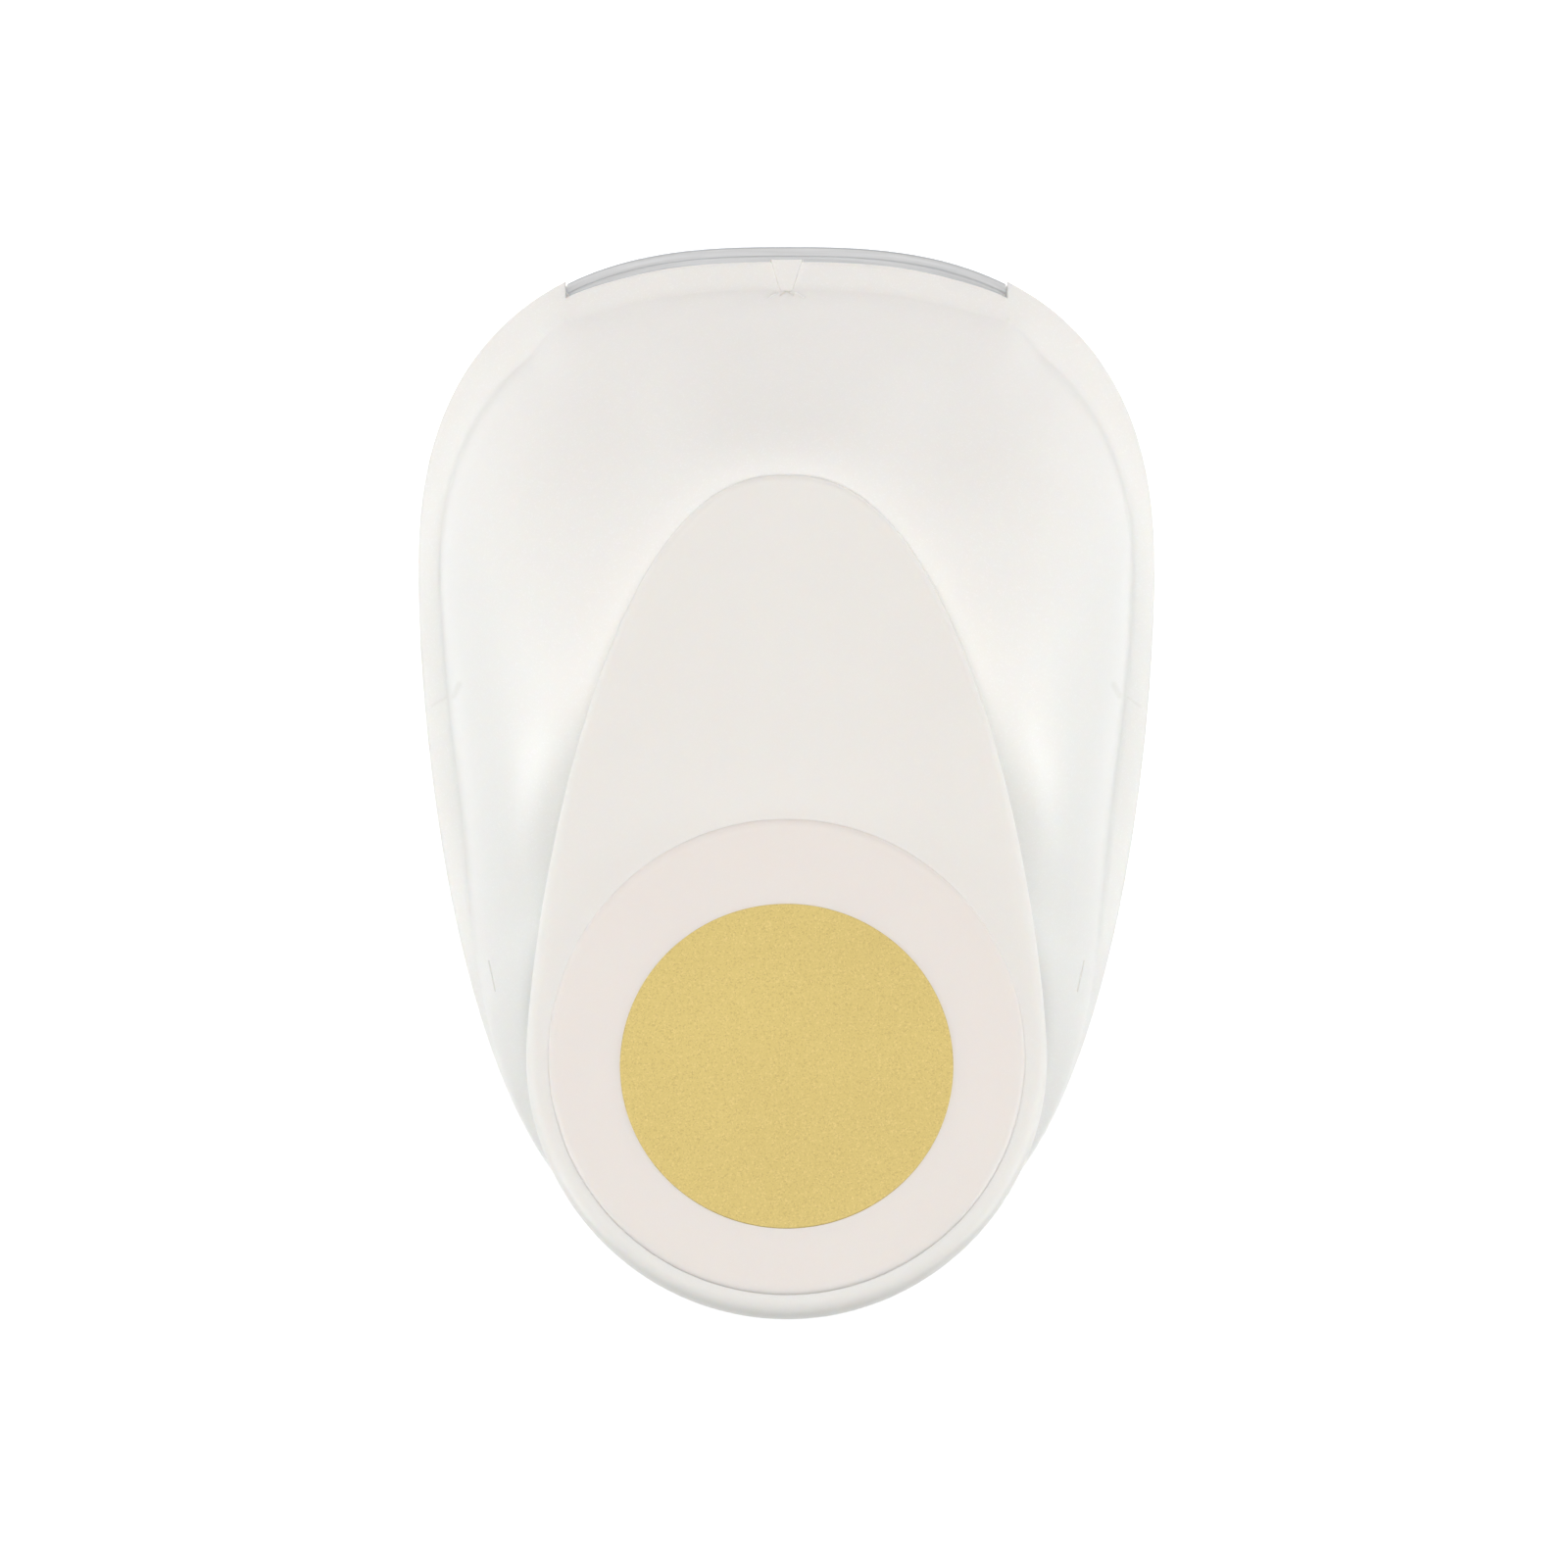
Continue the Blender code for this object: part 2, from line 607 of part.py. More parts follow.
def build_upper_shell():
    """Domed upper housing, open along the top for the lever and low at the tail."""
    mesh = bmesh.new()
    add_rings(mesh, shell_sections(), wrap=True)
    shell = to_object("upper_shell", mesh, white_plastic("shell plastic"))

    bosses = bmesh.new()
    for x, y, top in screw_places():
        add_cylinder(bosses, BOSS_RADIUS, SHELL_BOTTOM_Z, top, (x, y))
    combine(shell, as_tool("shell_bosses", bosses), "UNION")

    cuts = bmesh.new()
    reach = BODY_WIDTH / 2 + OVERRUN
    add_box(cuts, (-reach, FRONT_Y - OVERRUN, SHELL_BOTTOM_Z - OVERRUN), (reach, SLOT_END_Y, SLOT_TOP_Z))
    for x, y, top in screw_places():
        screw_top = top - SCREW_END_COVER / 2
        add_cylinder(cuts, SCREW_SHANK + SEAT_GAP, SHELL_BOTTOM_Z - OVERRUN, screw_top, (x, y))
    combine(shell, as_tool("slot_and_screw_cuts", cuts), "DIFFERENCE")

    lip = bmesh.new()
    lip_setback(lip)
    combine(shell, as_tool("lip_setback_cut", lip), "DIFFERENCE")

    pointer = bmesh.new()
    alignment_pointer(pointer)
    combine(shell, as_tool("alignment_pointer", pointer), "UNION")

    marks = bmesh.new()
    body = body_loop(DENSE_POINTS)
    right = body[body[:, 0] > 0]
    wall_x = right[np.argmin(np.abs(right[:, 1] - SLIT_Y)), 0]
    for side in (-1, 1):
        x = side * (wall_x - RIM_WIDTH * rim_share(SLIT_Y) - SLIT_WIDTH / 2)
        low = (x - SLIT_WIDTH / 2, SLIT_Y - SLIT_LENGTH / 2, RIM_TOP_Z + RIM_RISE - SLIT_DEPTH)
        high = (x + SLIT_WIDTH / 2, SLIT_Y + SLIT_LENGTH / 2, DOME_HEIGHT)
        add_box(marks, low, high)
    combine(shell, as_tool("slit_cuts", marks), "DIFFERENCE")


def die_outline(margin=0, front_overrun=0):
    """Plan of the die plate: square at the back, and curved along the mouth with the housing."""
    half = DIE_WIDTH / 2
    body = body_loop(DENSE_POINTS)
    front = body[(np.abs(body[:, 0]) < half) & (body[:, 1] < WIDEST_Y)]
    front = front[np.argsort(front[:, 0])][::MOUTH_EDGE_STRIDE]
    side_y = np.interp(half, front[:, 0], front[:, 1])
    arc_points = [(-half, side_y)] + [tuple(point) for point in front[1:-1]] + [(half, side_y)]
    width = (half + margin) / half
    lower = [(x * width, y - front_overrun) for x, y in arc_points]
    return np.array(lower + [(half + margin, FRAME_END_Y + margin), (-half - margin, FRAME_END_Y + margin)])


def build_base_tray():
    """Moulded lower housing: a tray with a round outlet for the chips and a seat for the die."""
    loop = body_loop(TRAY_SECTIONS)
    mesh = bmesh.new()
    rings = [
        with_height(inset_loop(loop, TRAY_DRAFT), 0),
        with_height(inset_loop(loop, TRAY_CHAMFER_INSET), TRAY_CHAMFER),
        with_height(loop, BASE_HEIGHT - SLOT_HEIGHT),
        with_height(loop, BASE_HEIGHT),
        with_height(inset_loop(loop, TRAY_WALL), BASE_HEIGHT),
        with_height(inset_loop(loop, TRAY_WALL), TRAY_FLOOR),
    ]
    add_rings(mesh, rings)
    tray = to_object("base_tray", mesh, white_plastic("tray plastic"))

    seats = bmesh.new()
    seat_radius = CHIP_HOLE_RADIUS + DIE_SEAT_WALL
    add_cylinder(seats, seat_radius, TRAY_FLOOR / 2, DIE_BOTTOM_Z - SEAT_GAP, (0, PUNCH_Y), HOLE_SIDES)
    for x, y, _ in screw_places():
        add_cylinder(seats, BOSS_RADIUS, BOSS_START, BASE_HEIGHT, (x, y))
    combine(tray, as_tool("die_seat_and_bosses", seats), "UNION")

    cuts = bmesh.new()
    add_cylinder(cuts, CHIP_HOLE_RADIUS, -OVERRUN, BASE_HEIGHT + OVERRUN, (0, PUNCH_Y), HOLE_SIDES)
    for x, y, _ in screw_places():
        profile = [
            (SCREW_HEAD + SEAT_GAP, -OVERRUN),
            (SCREW_HEAD + SEAT_GAP, SCREW_COUNTERBORE_DEPTH),
            (SCREW_SHANK + SEAT_GAP, SCREW_COUNTERBORE_DEPTH),
            (SCREW_SHANK + SEAT_GAP, BASE_HEIGHT + OVERRUN),
        ]
        add_turned(cuts, profile, (x, y))
    combine(tray, as_tool("outlet_and_screw_cuts", cuts), "DIFFERENCE")

    seat = bmesh.new()
    add_prism(seat, die_outline(SEAT_GAP, OVERRUN), DIE_BOTTOM_Z - SEAT_GAP, BASE_HEIGHT + OVERRUN)
    combine(tray, as_tool("die_seat_cut", seat), "DIFFERENCE")


def build_housing_screws():
    """Four screws that hold the tray to the upper shell, with a socket in each head."""
    steel = plated_steel("housing screw steel")
    drives = bmesh.new()
    head_z = SCREW_COUNTERBORE_DEPTH - SEAT_GAP - SCREW_HEAD_HEIGHT
    for x, y, _ in screw_places():
        add_cylinder(drives, SCREW_DRIVE, head_z - OVERRUN, head_z + SCREW_DRIVE_DEPTH, (x, y), SOCKET_SIDES)
    sockets = as_tool("housing_screw_sockets", drives)
    for number, (x, y, top) in enumerate(screw_places(), 1):
        profile = [
            (SCREW_HEAD, head_z),
            (SCREW_HEAD, head_z + SCREW_HEAD_HEIGHT),
            (SCREW_SHANK, head_z + SCREW_HEAD_HEIGHT),
            (SCREW_SHANK, top - SCREW_END_COVER),
        ]
        mesh = bmesh.new()
        add_turned(mesh, profile, (x, y), HEAD_SIDES)
        screw = to_object(f"housing_screw_{number}", mesh, steel)
        combine(screw, sockets, "DIFFERENCE")


def rivet_centres():
    """Plan places of the rivets behind the slot."""
    y = (SLOT_END_Y + FRAME_END_Y) / 2
    places = (SPACER_INNER + RIVET_INSET, SPACER_OUTER - RIVET_INSET)
    return [(side * x, y) for side in (-1, 1) for x in places]


def build_die_plate():
    """Steel die: its front edge shows as the ledge of the paper mouth."""
    mesh = bmesh.new()
    add_prism(mesh, die_outline(), DIE_BOTTOM_Z, BASE_HEIGHT)
    die = to_object("die_plate", mesh, plated_steel("die steel"))
    cuts = bmesh.new()
    low = DIE_BOTTOM_Z - OVERRUN
    high = BASE_HEIGHT + OVERRUN
    add_cylinder(cuts, PUNCH_RADIUS + SLIDING_FIT, low, high, (0, PUNCH_Y), HOLE_SIDES)
    for place in rivet_centres():
        add_cylinder(cuts, RIVET_SHANK + SEAT_GAP, low, high, place)
    combine(die, as_tool("die_holes", cuts), "DIFFERENCE")


def guide_outline():
    """Plan of the guide plate: follows the mouth inside the lip, and is square at the back."""
    half = GUIDE_WIDTH / 2
    inner = inset_loop(body_loop(DENSE_POINTS), GUIDE_FRONT_INSET)
    front = inner[(np.abs(inner[:, 0]) < half) & (inner[:, 1] < WIDEST_Y)]
    front = front[np.argsort(front[:, 0])][::MOUTH_EDGE_STRIDE]
    return np.array([tuple(point) for point in front] + [(half, FRAME_END_Y), (-half, FRAME_END_Y)])


def ear_outline():
    """Side view of a pivot ear: a tab with a round top."""
    base_z = GUIDE_TOP_Z - GUIDE_THICKNESS / 2
    top = arc((PIVOT_Y, PIVOT_HEIGHT), EAR_RADIUS, 0, math.pi, EAR_STEPS)
    return [(PIVOT_Y - EAR_RADIUS, base_z), (PIVOT_Y + EAR_RADIUS, base_z)] + top


def build_guide_plate():
    """Steel guide above the slot, with two upturned ears for the lever's pivot."""
    mesh = bmesh.new()
    add_prism(mesh, guide_outline(), SLOT_TOP_Z, GUIDE_TOP_Z)
    guide = to_object("guide_plate", mesh, plated_steel("guide steel"))

    holes = bmesh.new()
    low = SLOT_TOP_Z - OVERRUN
    high = GUIDE_TOP_Z + OVERRUN
    add_cylinder(holes, PUNCH_RADIUS + SLIDING_FIT, low, high, (0, PUNCH_Y), HOLE_SIDES)
    for place in rivet_centres():
        add_cylinder(holes, RIVET_SHANK + SEAT_GAP, low, high, place)
    for side in (-1, 1):
        add_cylinder(holes, POST_RADIUS + SEAT_GAP, low, high, (side * POST_X, PUNCH_Y))
    combine(guide, as_tool("guide_holes", holes), "DIFFERENCE")

    ears = bmesh.new()
    for side in (-1, 1):
        near, far = sorted((side * EAR_INNER, side * (EAR_INNER + EAR_THICKNESS)))
        add_side_prism(ears, ear_outline(), near, far)
    combine(guide, as_tool("pivot_ears", ears), "UNION")

    bore = bmesh.new()
    reach = EAR_INNER + EAR_THICKNESS + OVERRUN
    add_cross_cylinder(bore, PIN_RADIUS + SLIDING_FIT, -reach, reach, (PIVOT_Y, PIVOT_HEIGHT))
    combine(guide, as_tool("pivot_bore", bore), "DIFFERENCE")


def build_spacers():
    """Two blocks that keep the die and the guide apart at the back of the slot."""
    for name, side in (("spacer_left", -1), ("spacer_right", 1)):
        near, far = sorted((side * SPACER_INNER, side * SPACER_OUTER))
        mesh = bmesh.new()
        low = (near, SLOT_END_Y + SPACER_SLOT_MARGIN, BASE_HEIGHT + SEAT_GAP)
        high = (far, FRAME_END_Y, SLOT_TOP_Z - SEAT_GAP)
        add_box(mesh, low, high)
        spacer = to_object(name, mesh, plated_steel(name + " steel"))
        holes = bmesh.new()
        for x, y in rivet_centres():
            if x * side > 0:
                low_z = BASE_HEIGHT - OVERRUN
                add_cylinder(holes, RIVET_SHANK + SEAT_GAP, low_z, SLOT_TOP_Z + OVERRUN, (x, y))
        combine(spacer, as_tool(name + "_holes", holes), "DIFFERENCE")


def build_frame_rivets():
    """Four rivets through the die, the spacers and the guide."""
    steel = plated_steel("rivet steel")
    low = DIE_BOTTOM_Z - SEAT_GAP
    high = GUIDE_TOP_Z + SEAT_GAP
    for number, place in enumerate(rivet_centres(), 1):
        profile = [
            (RIVET_HEAD / 2, low - RIVET_HEAD_HEIGHT),
            (RIVET_HEAD, low - RIVET_HEAD_HEIGHT * RIVET_CROWN_SHARE),
            (RIVET_HEAD, low),
            (RIVET_SHANK, low),
            (RIVET_SHANK, high),
            (RIVET_HEAD, high),
            (RIVET_HEAD, high + RIVET_HEAD_HEIGHT * RIVET_CROWN_SHARE),
            (RIVET_HEAD / 2, high + RIVET_HEAD_HEIGHT),
        ]
        mesh = bmesh.new()
        add_turned(mesh, profile, place, HEAD_SIDES)
        to_object(f"frame_rivet_{number}", mesh, steel)


def build_pivot_pin():
    """Pin of the lever, held in the ears by two clips."""
    mesh = bmesh.new()
    reach = EAR_INNER + EAR_THICKNESS + PIN_OVERHANG
    add_cross_cylinder(mesh, PIN_RADIUS, -reach, reach, (PIVOT_Y, PIVOT_HEIGHT))
    to_object("pivot_pin", mesh, plated_steel("pivot steel"))

    start = EAR_INNER + EAR_THICKNESS + SEAT_GAP / 2
    centre = (PIVOT_Y, PIVOT_HEIGHT)
    bore = circle(PIN_RADIUS + SLIDING_FIT, PIN_SIDES, centre)
    rim = circle(EAR_RADIUS, PIN_SIDES, centre)
    steel = plated_steel("pin clip steel")
    for name, side in (("pin_clip_left", -1), ("pin_clip_right", 1)):
        rings = []
        for loop, offset in ((bore, 0), (rim, 0), (rim, CLIP_THICKNESS), (bore, CLIP_THICKNESS)):
            x = np.full(PIN_SIDES, side * (start + offset))
            rings.append(np.column_stack([x, loop]))
        clip = bmesh.new()
        add_rings(clip, rings, wrap=True)
        to_object(name, clip, steel)


def post_top_z():
    """Top of a guide post, above its clip."""
    return clip_bottom_z() + CLIP_THICKNESS + POST_TIP


def clip_bottom_z():
    """Underside of a post clip, which stops the bush at rest."""
    return WING_TOP_Z + SEAT_GAP + BUSH_FLANGE_HEIGHT + SEAT_GAP


def build_guide_posts():
    """Two posts that guide the carrier, with their clips."""
    steel = plated_steel("post clip steel")
    for hand, side in (("left", -1), ("right", 1)):
        place = (side * POST_X, PUNCH_Y)
        shoulder_z = GUIDE_TOP_Z + SEAT_GAP
        profile = [
            (POST_RADIUS, SLOT_TOP_Z + SEAT_GAP),
            (POST_RADIUS, shoulder_z),
            (POST_RADIUS + POST_SHOULDER, shoulder_z),
            (POST_RADIUS + POST_SHOULDER, shoulder_z + POST_SHOULDER_HEIGHT),
            (POST_RADIUS, shoulder_z + POST_SHOULDER_HEIGHT),
            (POST_RADIUS, post_top_z() - POST_TIP / 2),
            (POST_RADIUS / 2, post_top_z()),
        ]
        mesh = bmesh.new()
        add_turned(mesh, profile, place)
        to_object(f"guide_post_{hand}", mesh, plated_steel(f"{hand} post steel"))
        inner = POST_RADIUS + SLIDING_FIT
        outer = POST_RADIUS + CLIP_WALL
        low = clip_bottom_z()
        high = low + CLIP_THICKNESS
        clip = bmesh.new()
        add_turned_ring(clip, [(inner, low), (outer, low), (outer, high), (inner, high)], place)
        to_object(f"post_clip_{hand}", clip, steel)


def coil_points(side):
    """Centre line of a return spring: a helix round its post, from the shoulder to the wing."""
    low = GUIDE_TOP_Z + SEAT_GAP + POST_SHOULDER_HEIGHT + SEAT_GAP + SPRING_WIRE / 2
    high = WING_BOTTOM_Z - SEAT_GAP - SPRING_WIRE / 2
    radius = POST_RADIUS + SPRING_CLEARANCE + SPRING_WIRE / 2
    turn = np.linspace(0, 2 * math.pi * SPRING_TURNS, SPRING_TURNS * POINTS_PER_TURN + 1)
    x = side * POST_X + radius * np.cos(turn)
    y = PUNCH_Y + radius * np.sin(turn)
    return np.column_stack([x, y, np.linspace(low, high, len(turn))])


def build_return_springs():
    """Two coil springs that lift the carrier, the punch and the lever."""
    for name, side in (("return_spring_left", -1), ("return_spring_right", 1)):
        points = coil_points(side)
        curve = bpy.data.curves.new(name, "CURVE")
        curve.dimensions = "3D"
        curve.bevel_depth = SPRING_WIRE / 2
        curve.bevel_resolution = 1
        curve.use_fill_caps = True
        spline = curve.splines.new("POLY")
        spline.points.add(len(points) - 1)
        flat = np.column_stack([points, np.ones(len(points))]).ravel()
        spline.points.foreach_set("co", flat.astype(np.float32))
        curve.materials.append(make_finish(name + " wire", (0.45, 0.45, 0.45), 0.35, 1.0))
        spring = bpy.data.objects.new(name, curve)
        bpy.context.scene.collection.objects.link(spring)
        apart = np.linalg.norm(points[:, None] - points[None, :], axis=2)
        steps = np.abs(np.subtract.outer(np.arange(len(points)), np.arange(len(points))))
        gap = apart[steps > POINTS_PER_TURN / 2].min() - SPRING_WIRE
        enough = "clear" if gap > LEAST_COIL_GAP else "tight"
        print(f"{name}: least gap between turns {gap * 1000:.2f} mm, {enough}")


def build_punch_cutter():
    """Hardened round punch with a recessed lower face, so that its rim shears the paper."""
    inner = PUNCH_RADIUS - PUNCH_RIM
    profile = [
        (inner, PUNCH_BOTTOM_Z + PUNCH_RECESS),
        (inner, PUNCH_BOTTOM_Z),
        (PUNCH_RADIUS, PUNCH_BOTTOM_Z),
        (PUNCH_RADIUS, PUNCH_TOP_Z),
    ]
    mesh = bmesh.new()
    add_turned(mesh, profile, (0, PUNCH_Y), HOLE_SIDES)
    punch = carry("punch_axis", to_object("punch_cutter", mesh, plated_steel("punch steel")))
    holes = bmesh.new()
    for side in (-1, 1):
        low = PUNCH_BOTTOM_Z - OVERRUN
        high = PUNCH_TOP_Z + OVERRUN
        add_cylinder(holes, CARRIER_SCREW_SHANK + SEAT_GAP, low, high, (side * CARRIER_SCREW_PLACE, PUNCH_Y))
    combine(punch, as_tool("punch_screw_holes", holes), "DIFFERENCE")


def build_punch_carrier():
    """Bridge of sheet steel over the punch; its raised wings ride on the guide posts."""
    wing_reach = POST_X + bush_radius() + SLIDING_FIT + WING_BORE_WALL
    outline = [
        (RISER_OUTER, CARRIER_BOTTOM_Z),
        (RISER_OUTER, WING_BOTTOM_Z),
        (wing_reach, WING_BOTTOM_Z),
        (wing_reach, WING_TOP_Z),
        (RISER_INNER, WING_TOP_Z),
        (RISER_INNER, CARRIER_TOP_Z),
    ]
    points = outline + [(-x, z) for x, z in reversed(outline)]
    front_y = PUNCH_Y - CARRIER_ARM_WIDTH / 2
    rear_y = PUNCH_Y + CARRIER_ARM_WIDTH / 2
    mesh = bmesh.new()
    add_rings(mesh, [[(x, y, z) for x, z in points] for y in (front_y, rear_y)])
    carrier = carry("punch_axis", to_object("punch_carrier", mesh, plated_steel("carrier steel")))

    plate = bmesh.new()
    low = (-RISER_OUTER, PUNCH_Y, CARRIER_BOTTOM_Z)
    tail = math.sqrt(PUNCH_RADIUS**2 - RISER_OUTER**2) - SEAT_GAP
    high = (RISER_OUTER, PUNCH_Y + tail, CARRIER_TOP_Z)
    add_box(plate, low, high)
    combine(carrier, as_tool("carrier_plate", plate), "UNION")

    holes = bmesh.new()
    for side in (-1, 1):
        place = (side * POST_X, PUNCH_Y)
        add_cylinder(holes, bush_radius() + SLIDING_FIT, WING_BOTTOM_Z - OVERRUN, WING_TOP_Z + OVERRUN, place)
        low_z = CARRIER_BOTTOM_Z - OVERRUN
        high_z = CARRIER_TOP_Z + OVERRUN
        place = (side * CARRIER_SCREW_PLACE, PUNCH_Y)
        add_cylinder(holes, CARRIER_SCREW_SHANK + SEAT_GAP, low_z, high_z, place)
    combine(carrier, as_tool("carrier_holes", holes), "DIFFERENCE")


def bush_radius():
    """Outer radius of a guide bush."""
    return POST_RADIUS + SLIDING_FIT + BUSH_WALL


def build_bushes():
    """Flanged bushes in the wings, which slide on the posts."""
    for name, side in (("guide_bush_left", -1), ("guide_bush_right", 1)):
        bore = POST_RADIUS + SLIDING_FIT
        outer = bush_radius()
        flange_z = WING_TOP_Z + SEAT_GAP
        top = flange_z + BUSH_FLANGE_HEIGHT
        profile = [
            (bore, WING_BOTTOM_Z),
            (outer, WING_BOTTOM_Z),
            (outer, flange_z),
            (outer + BUSH_FLANGE, flange_z),
            (outer + BUSH_FLANGE, top),
            (bore, top),
        ]
        mesh = bmesh.new()
        add_turned_ring(mesh, profile, (side * POST_X, PUNCH_Y))
        bronze = make_finish(name + " bronze", (0.55, 0.38, 0.18), 0.4, 1.0)
        carry("punch_axis", to_object(name, mesh, bronze))


def build_carrier_screws():
    """Two screws from the carrier into the punch."""
    steel = plated_steel("carrier screw steel")
    head_z = CARRIER_TOP_Z + SEAT_GAP
    end_z = PUNCH_BOTTOM_Z + PUNCH_RECESS + SEAT_GAP
    for name, side in (("carrier_screw_left", -1), ("carrier_screw_right", 1)):
        profile = [
            (CARRIER_SCREW_SHANK, end_z),
            (CARRIER_SCREW_SHANK, head_z),
            (CARRIER_SCREW_HEAD, head_z),
            (CARRIER_SCREW_HEAD, head_z + CARRIER_SCREW_HEAD_HEIGHT),
        ]
        mesh = bmesh.new()
        add_turned(mesh, profile, (side * CARRIER_SCREW_PLACE, PUNCH_Y), HEAD_SIDES)
        carry("punch_axis", to_object(name, mesh, steel))


def build_lever_shell():
    """Hollow lever: a sloping tongue that widens into the round seat of the thumb pad."""
    loop = lever_loop(LEVER_SECTIONS)
    skirt = inset_loop(loop, LEVER_FLANGE)
    inner = inset_loop(skirt, LEVER_WALL)
    ceiling = LEVER_TOP / math.cos(LEVER_TILT)
    full = APEX_EDGE_SHARE + (1 - APEX_EDGE_SHARE) * smooth_step(loop[:, 1], APEX_Y, PAD_Y)
    full += REAR_EDGE_GROWTH_SHARE * smooth_step(loop[:, 1], PAD_Y, REAR_Y)
    flange_top = lever_plane_z(loop[:, 1]) - LEVER_EDGE_DROP * full
    rings = [
        with_height(inner, lever_plane_z(inner[:, 1]) - ceiling),
        with_height(inner, skirt_z(inner[:, 1])),
        with_height(skirt, skirt_z(skirt[:, 1])),
        with_height(skirt, flange_top - LEVER_FLANGE_HEIGHT),
        with_height(loop, flange_top - LEVER_FLANGE_HEIGHT),
        with_height(loop, flange_top),
    ]
    for step in range(1, EDGE_STEPS + 1):
        turn = step / EDGE_STEPS * math.pi / 2
        edge = inset_loop(loop, (LEVER_EDGE_ROUND * full * (1 - math.cos(turn)))[:, None])
        drop = LEVER_EDGE_DROP * full * (1 - math.sin(turn))
        rings.append(with_height(edge, lever_plane_z(edge[:, 1]) - drop))
    mesh = bmesh.new()
    add_rings(mesh, rings)
    shell = carry("lever_axis", to_object("lever_shell", mesh, white_plastic("lever plastic")))

    pocket = bmesh.new()
    add_prism(pocket, pad_oval(PAD_RADIUS + SLIDING_FIT), -PAD_POCKET_DEPTH, OVERRUN)
    tool = as_tool("pad_pocket_cut", pocket)
    tool.parent = bpy.data.objects["pad_frame"]
    combine(shell, tool, "DIFFERENCE")

    holes = bmesh.new()
    for y in arm_screw_places():
        top = arm_top_z(y) + SEAT_GAP + ARM_SCREW_DEPTH + SEAT_GAP
        add_cylinder(holes, SCREW_SHANK + SEAT_GAP, arm_top_z(y) - OVERRUN, top, (0, y))
    combine(shell, as_tool("lever_screw_holes", holes), "DIFFERENCE")


def build_thumb_pad():
    """Round pad let into the lever, standing a little proud, with a recess for the gold disc."""
    bottom = -PAD_POCKET_DEPTH + SEAT_GAP
    profile = [
        (PAD_RADIUS, bottom),
        (PAD_RADIUS, PAD_PROUD - PAD_ROUND),
        (PAD_RADIUS - PAD_ROUND / 4, PAD_PROUD - PAD_ROUND / 4),
        (PAD_RADIUS - PAD_ROUND, PAD_PROUD),
    ]
    mesh = bmesh.new()
    add_rings(mesh, [with_height(pad_oval(radius), z) for radius, z in profile])
    pad = to_object("thumb_pad", mesh, white_plastic("pad plastic"))
    pad.parent = bpy.data.objects["pad_frame"]

    recess = bmesh.new()
    floor = PAD_PROUD - GOLD_RECESS
    add_cylinder(recess, GOLD_RADIUS + SLIDING_FIT, floor, PAD_PROUD + OVERRUN, (0, GOLD_OFFSET), HOLE_SIDES)
    tool = as_tool("gold_recess_cut", recess)
    tool.parent = bpy.data.objects["pad_frame"]
    combine(pad, tool, "DIFFERENCE")

    mesh = bmesh.new()
    low = floor + SEAT_GAP
    add_cylinder(mesh, GOLD_RADIUS, low, low + GOLD_THICKNESS, (0, GOLD_OFFSET), HOLE_SIDES)
    disc = to_object("gold_disc", mesh, make_finish("gold card", (0.70, 0.55, 0.20), 0.45, 0.6))
    disc.parent = bpy.data.objects["pad_frame"]


def arm_screw_places():
    """Places along the lever of the screws that hold it to the arm."""
    return [APEX_Y + reach for reach in ARM_SCREW_REACHES]


def arm_top_z(y):
    """Top of the arm's web, just under the lever shell's ceiling."""
    return lever_plane_z(y) - LEVER_TOP / math.cos(LEVER_TILT) - SEAT_GAP


def arm_outline():
    """Side view of the lever arm: an eye on the pivot, a low neck and a deep tail under the lever."""
    press = (PRESS_Y, PRESS_Z)
    pivot = (PIVOT_Y, PIVOT_HEIGHT)
    inside = inset_loop(lever_loop(DENSE_POINTS), LEVER_FLANGE + LEVER_WALL)
    inside_y = y_of_half_width(inside, ARM_WIDTH / 2 + SEAT_GAP)
    neck_z = SKIRT_FRONT_HEIGHT - SEAT_GAP
    step_y = inside_y + LEVER_WALL
    foot_z = CARRIER_TOP_Z + SEAT_GAP + SEAT_GAP
    carrier_y = PUNCH_Y - CARRIER_ARM_WIDTH / 2
    points = [(ARM_TAIL_Y, arm_top_z(ARM_TAIL_Y) - ARM_TAIL_DEPTH), (ARM_TAIL_Y, arm_top_z(ARM_TAIL_Y))]
    points += [(step_y, arm_top_z(step_y)), (inside_y, neck_z), (APEX_Y - SEAT_GAP, neck_z)]
    points += arc(pivot, EYE_RADIUS, *EYE_ARC, EYE_STEPS)
    points += [(carrier_y - SEAT_GAP, foot_z)]
    points += arc(press, PRESS_EYE_RADIUS, *PRESS_EYE_ARC, PRESS_EYE_STEPS)
    return points


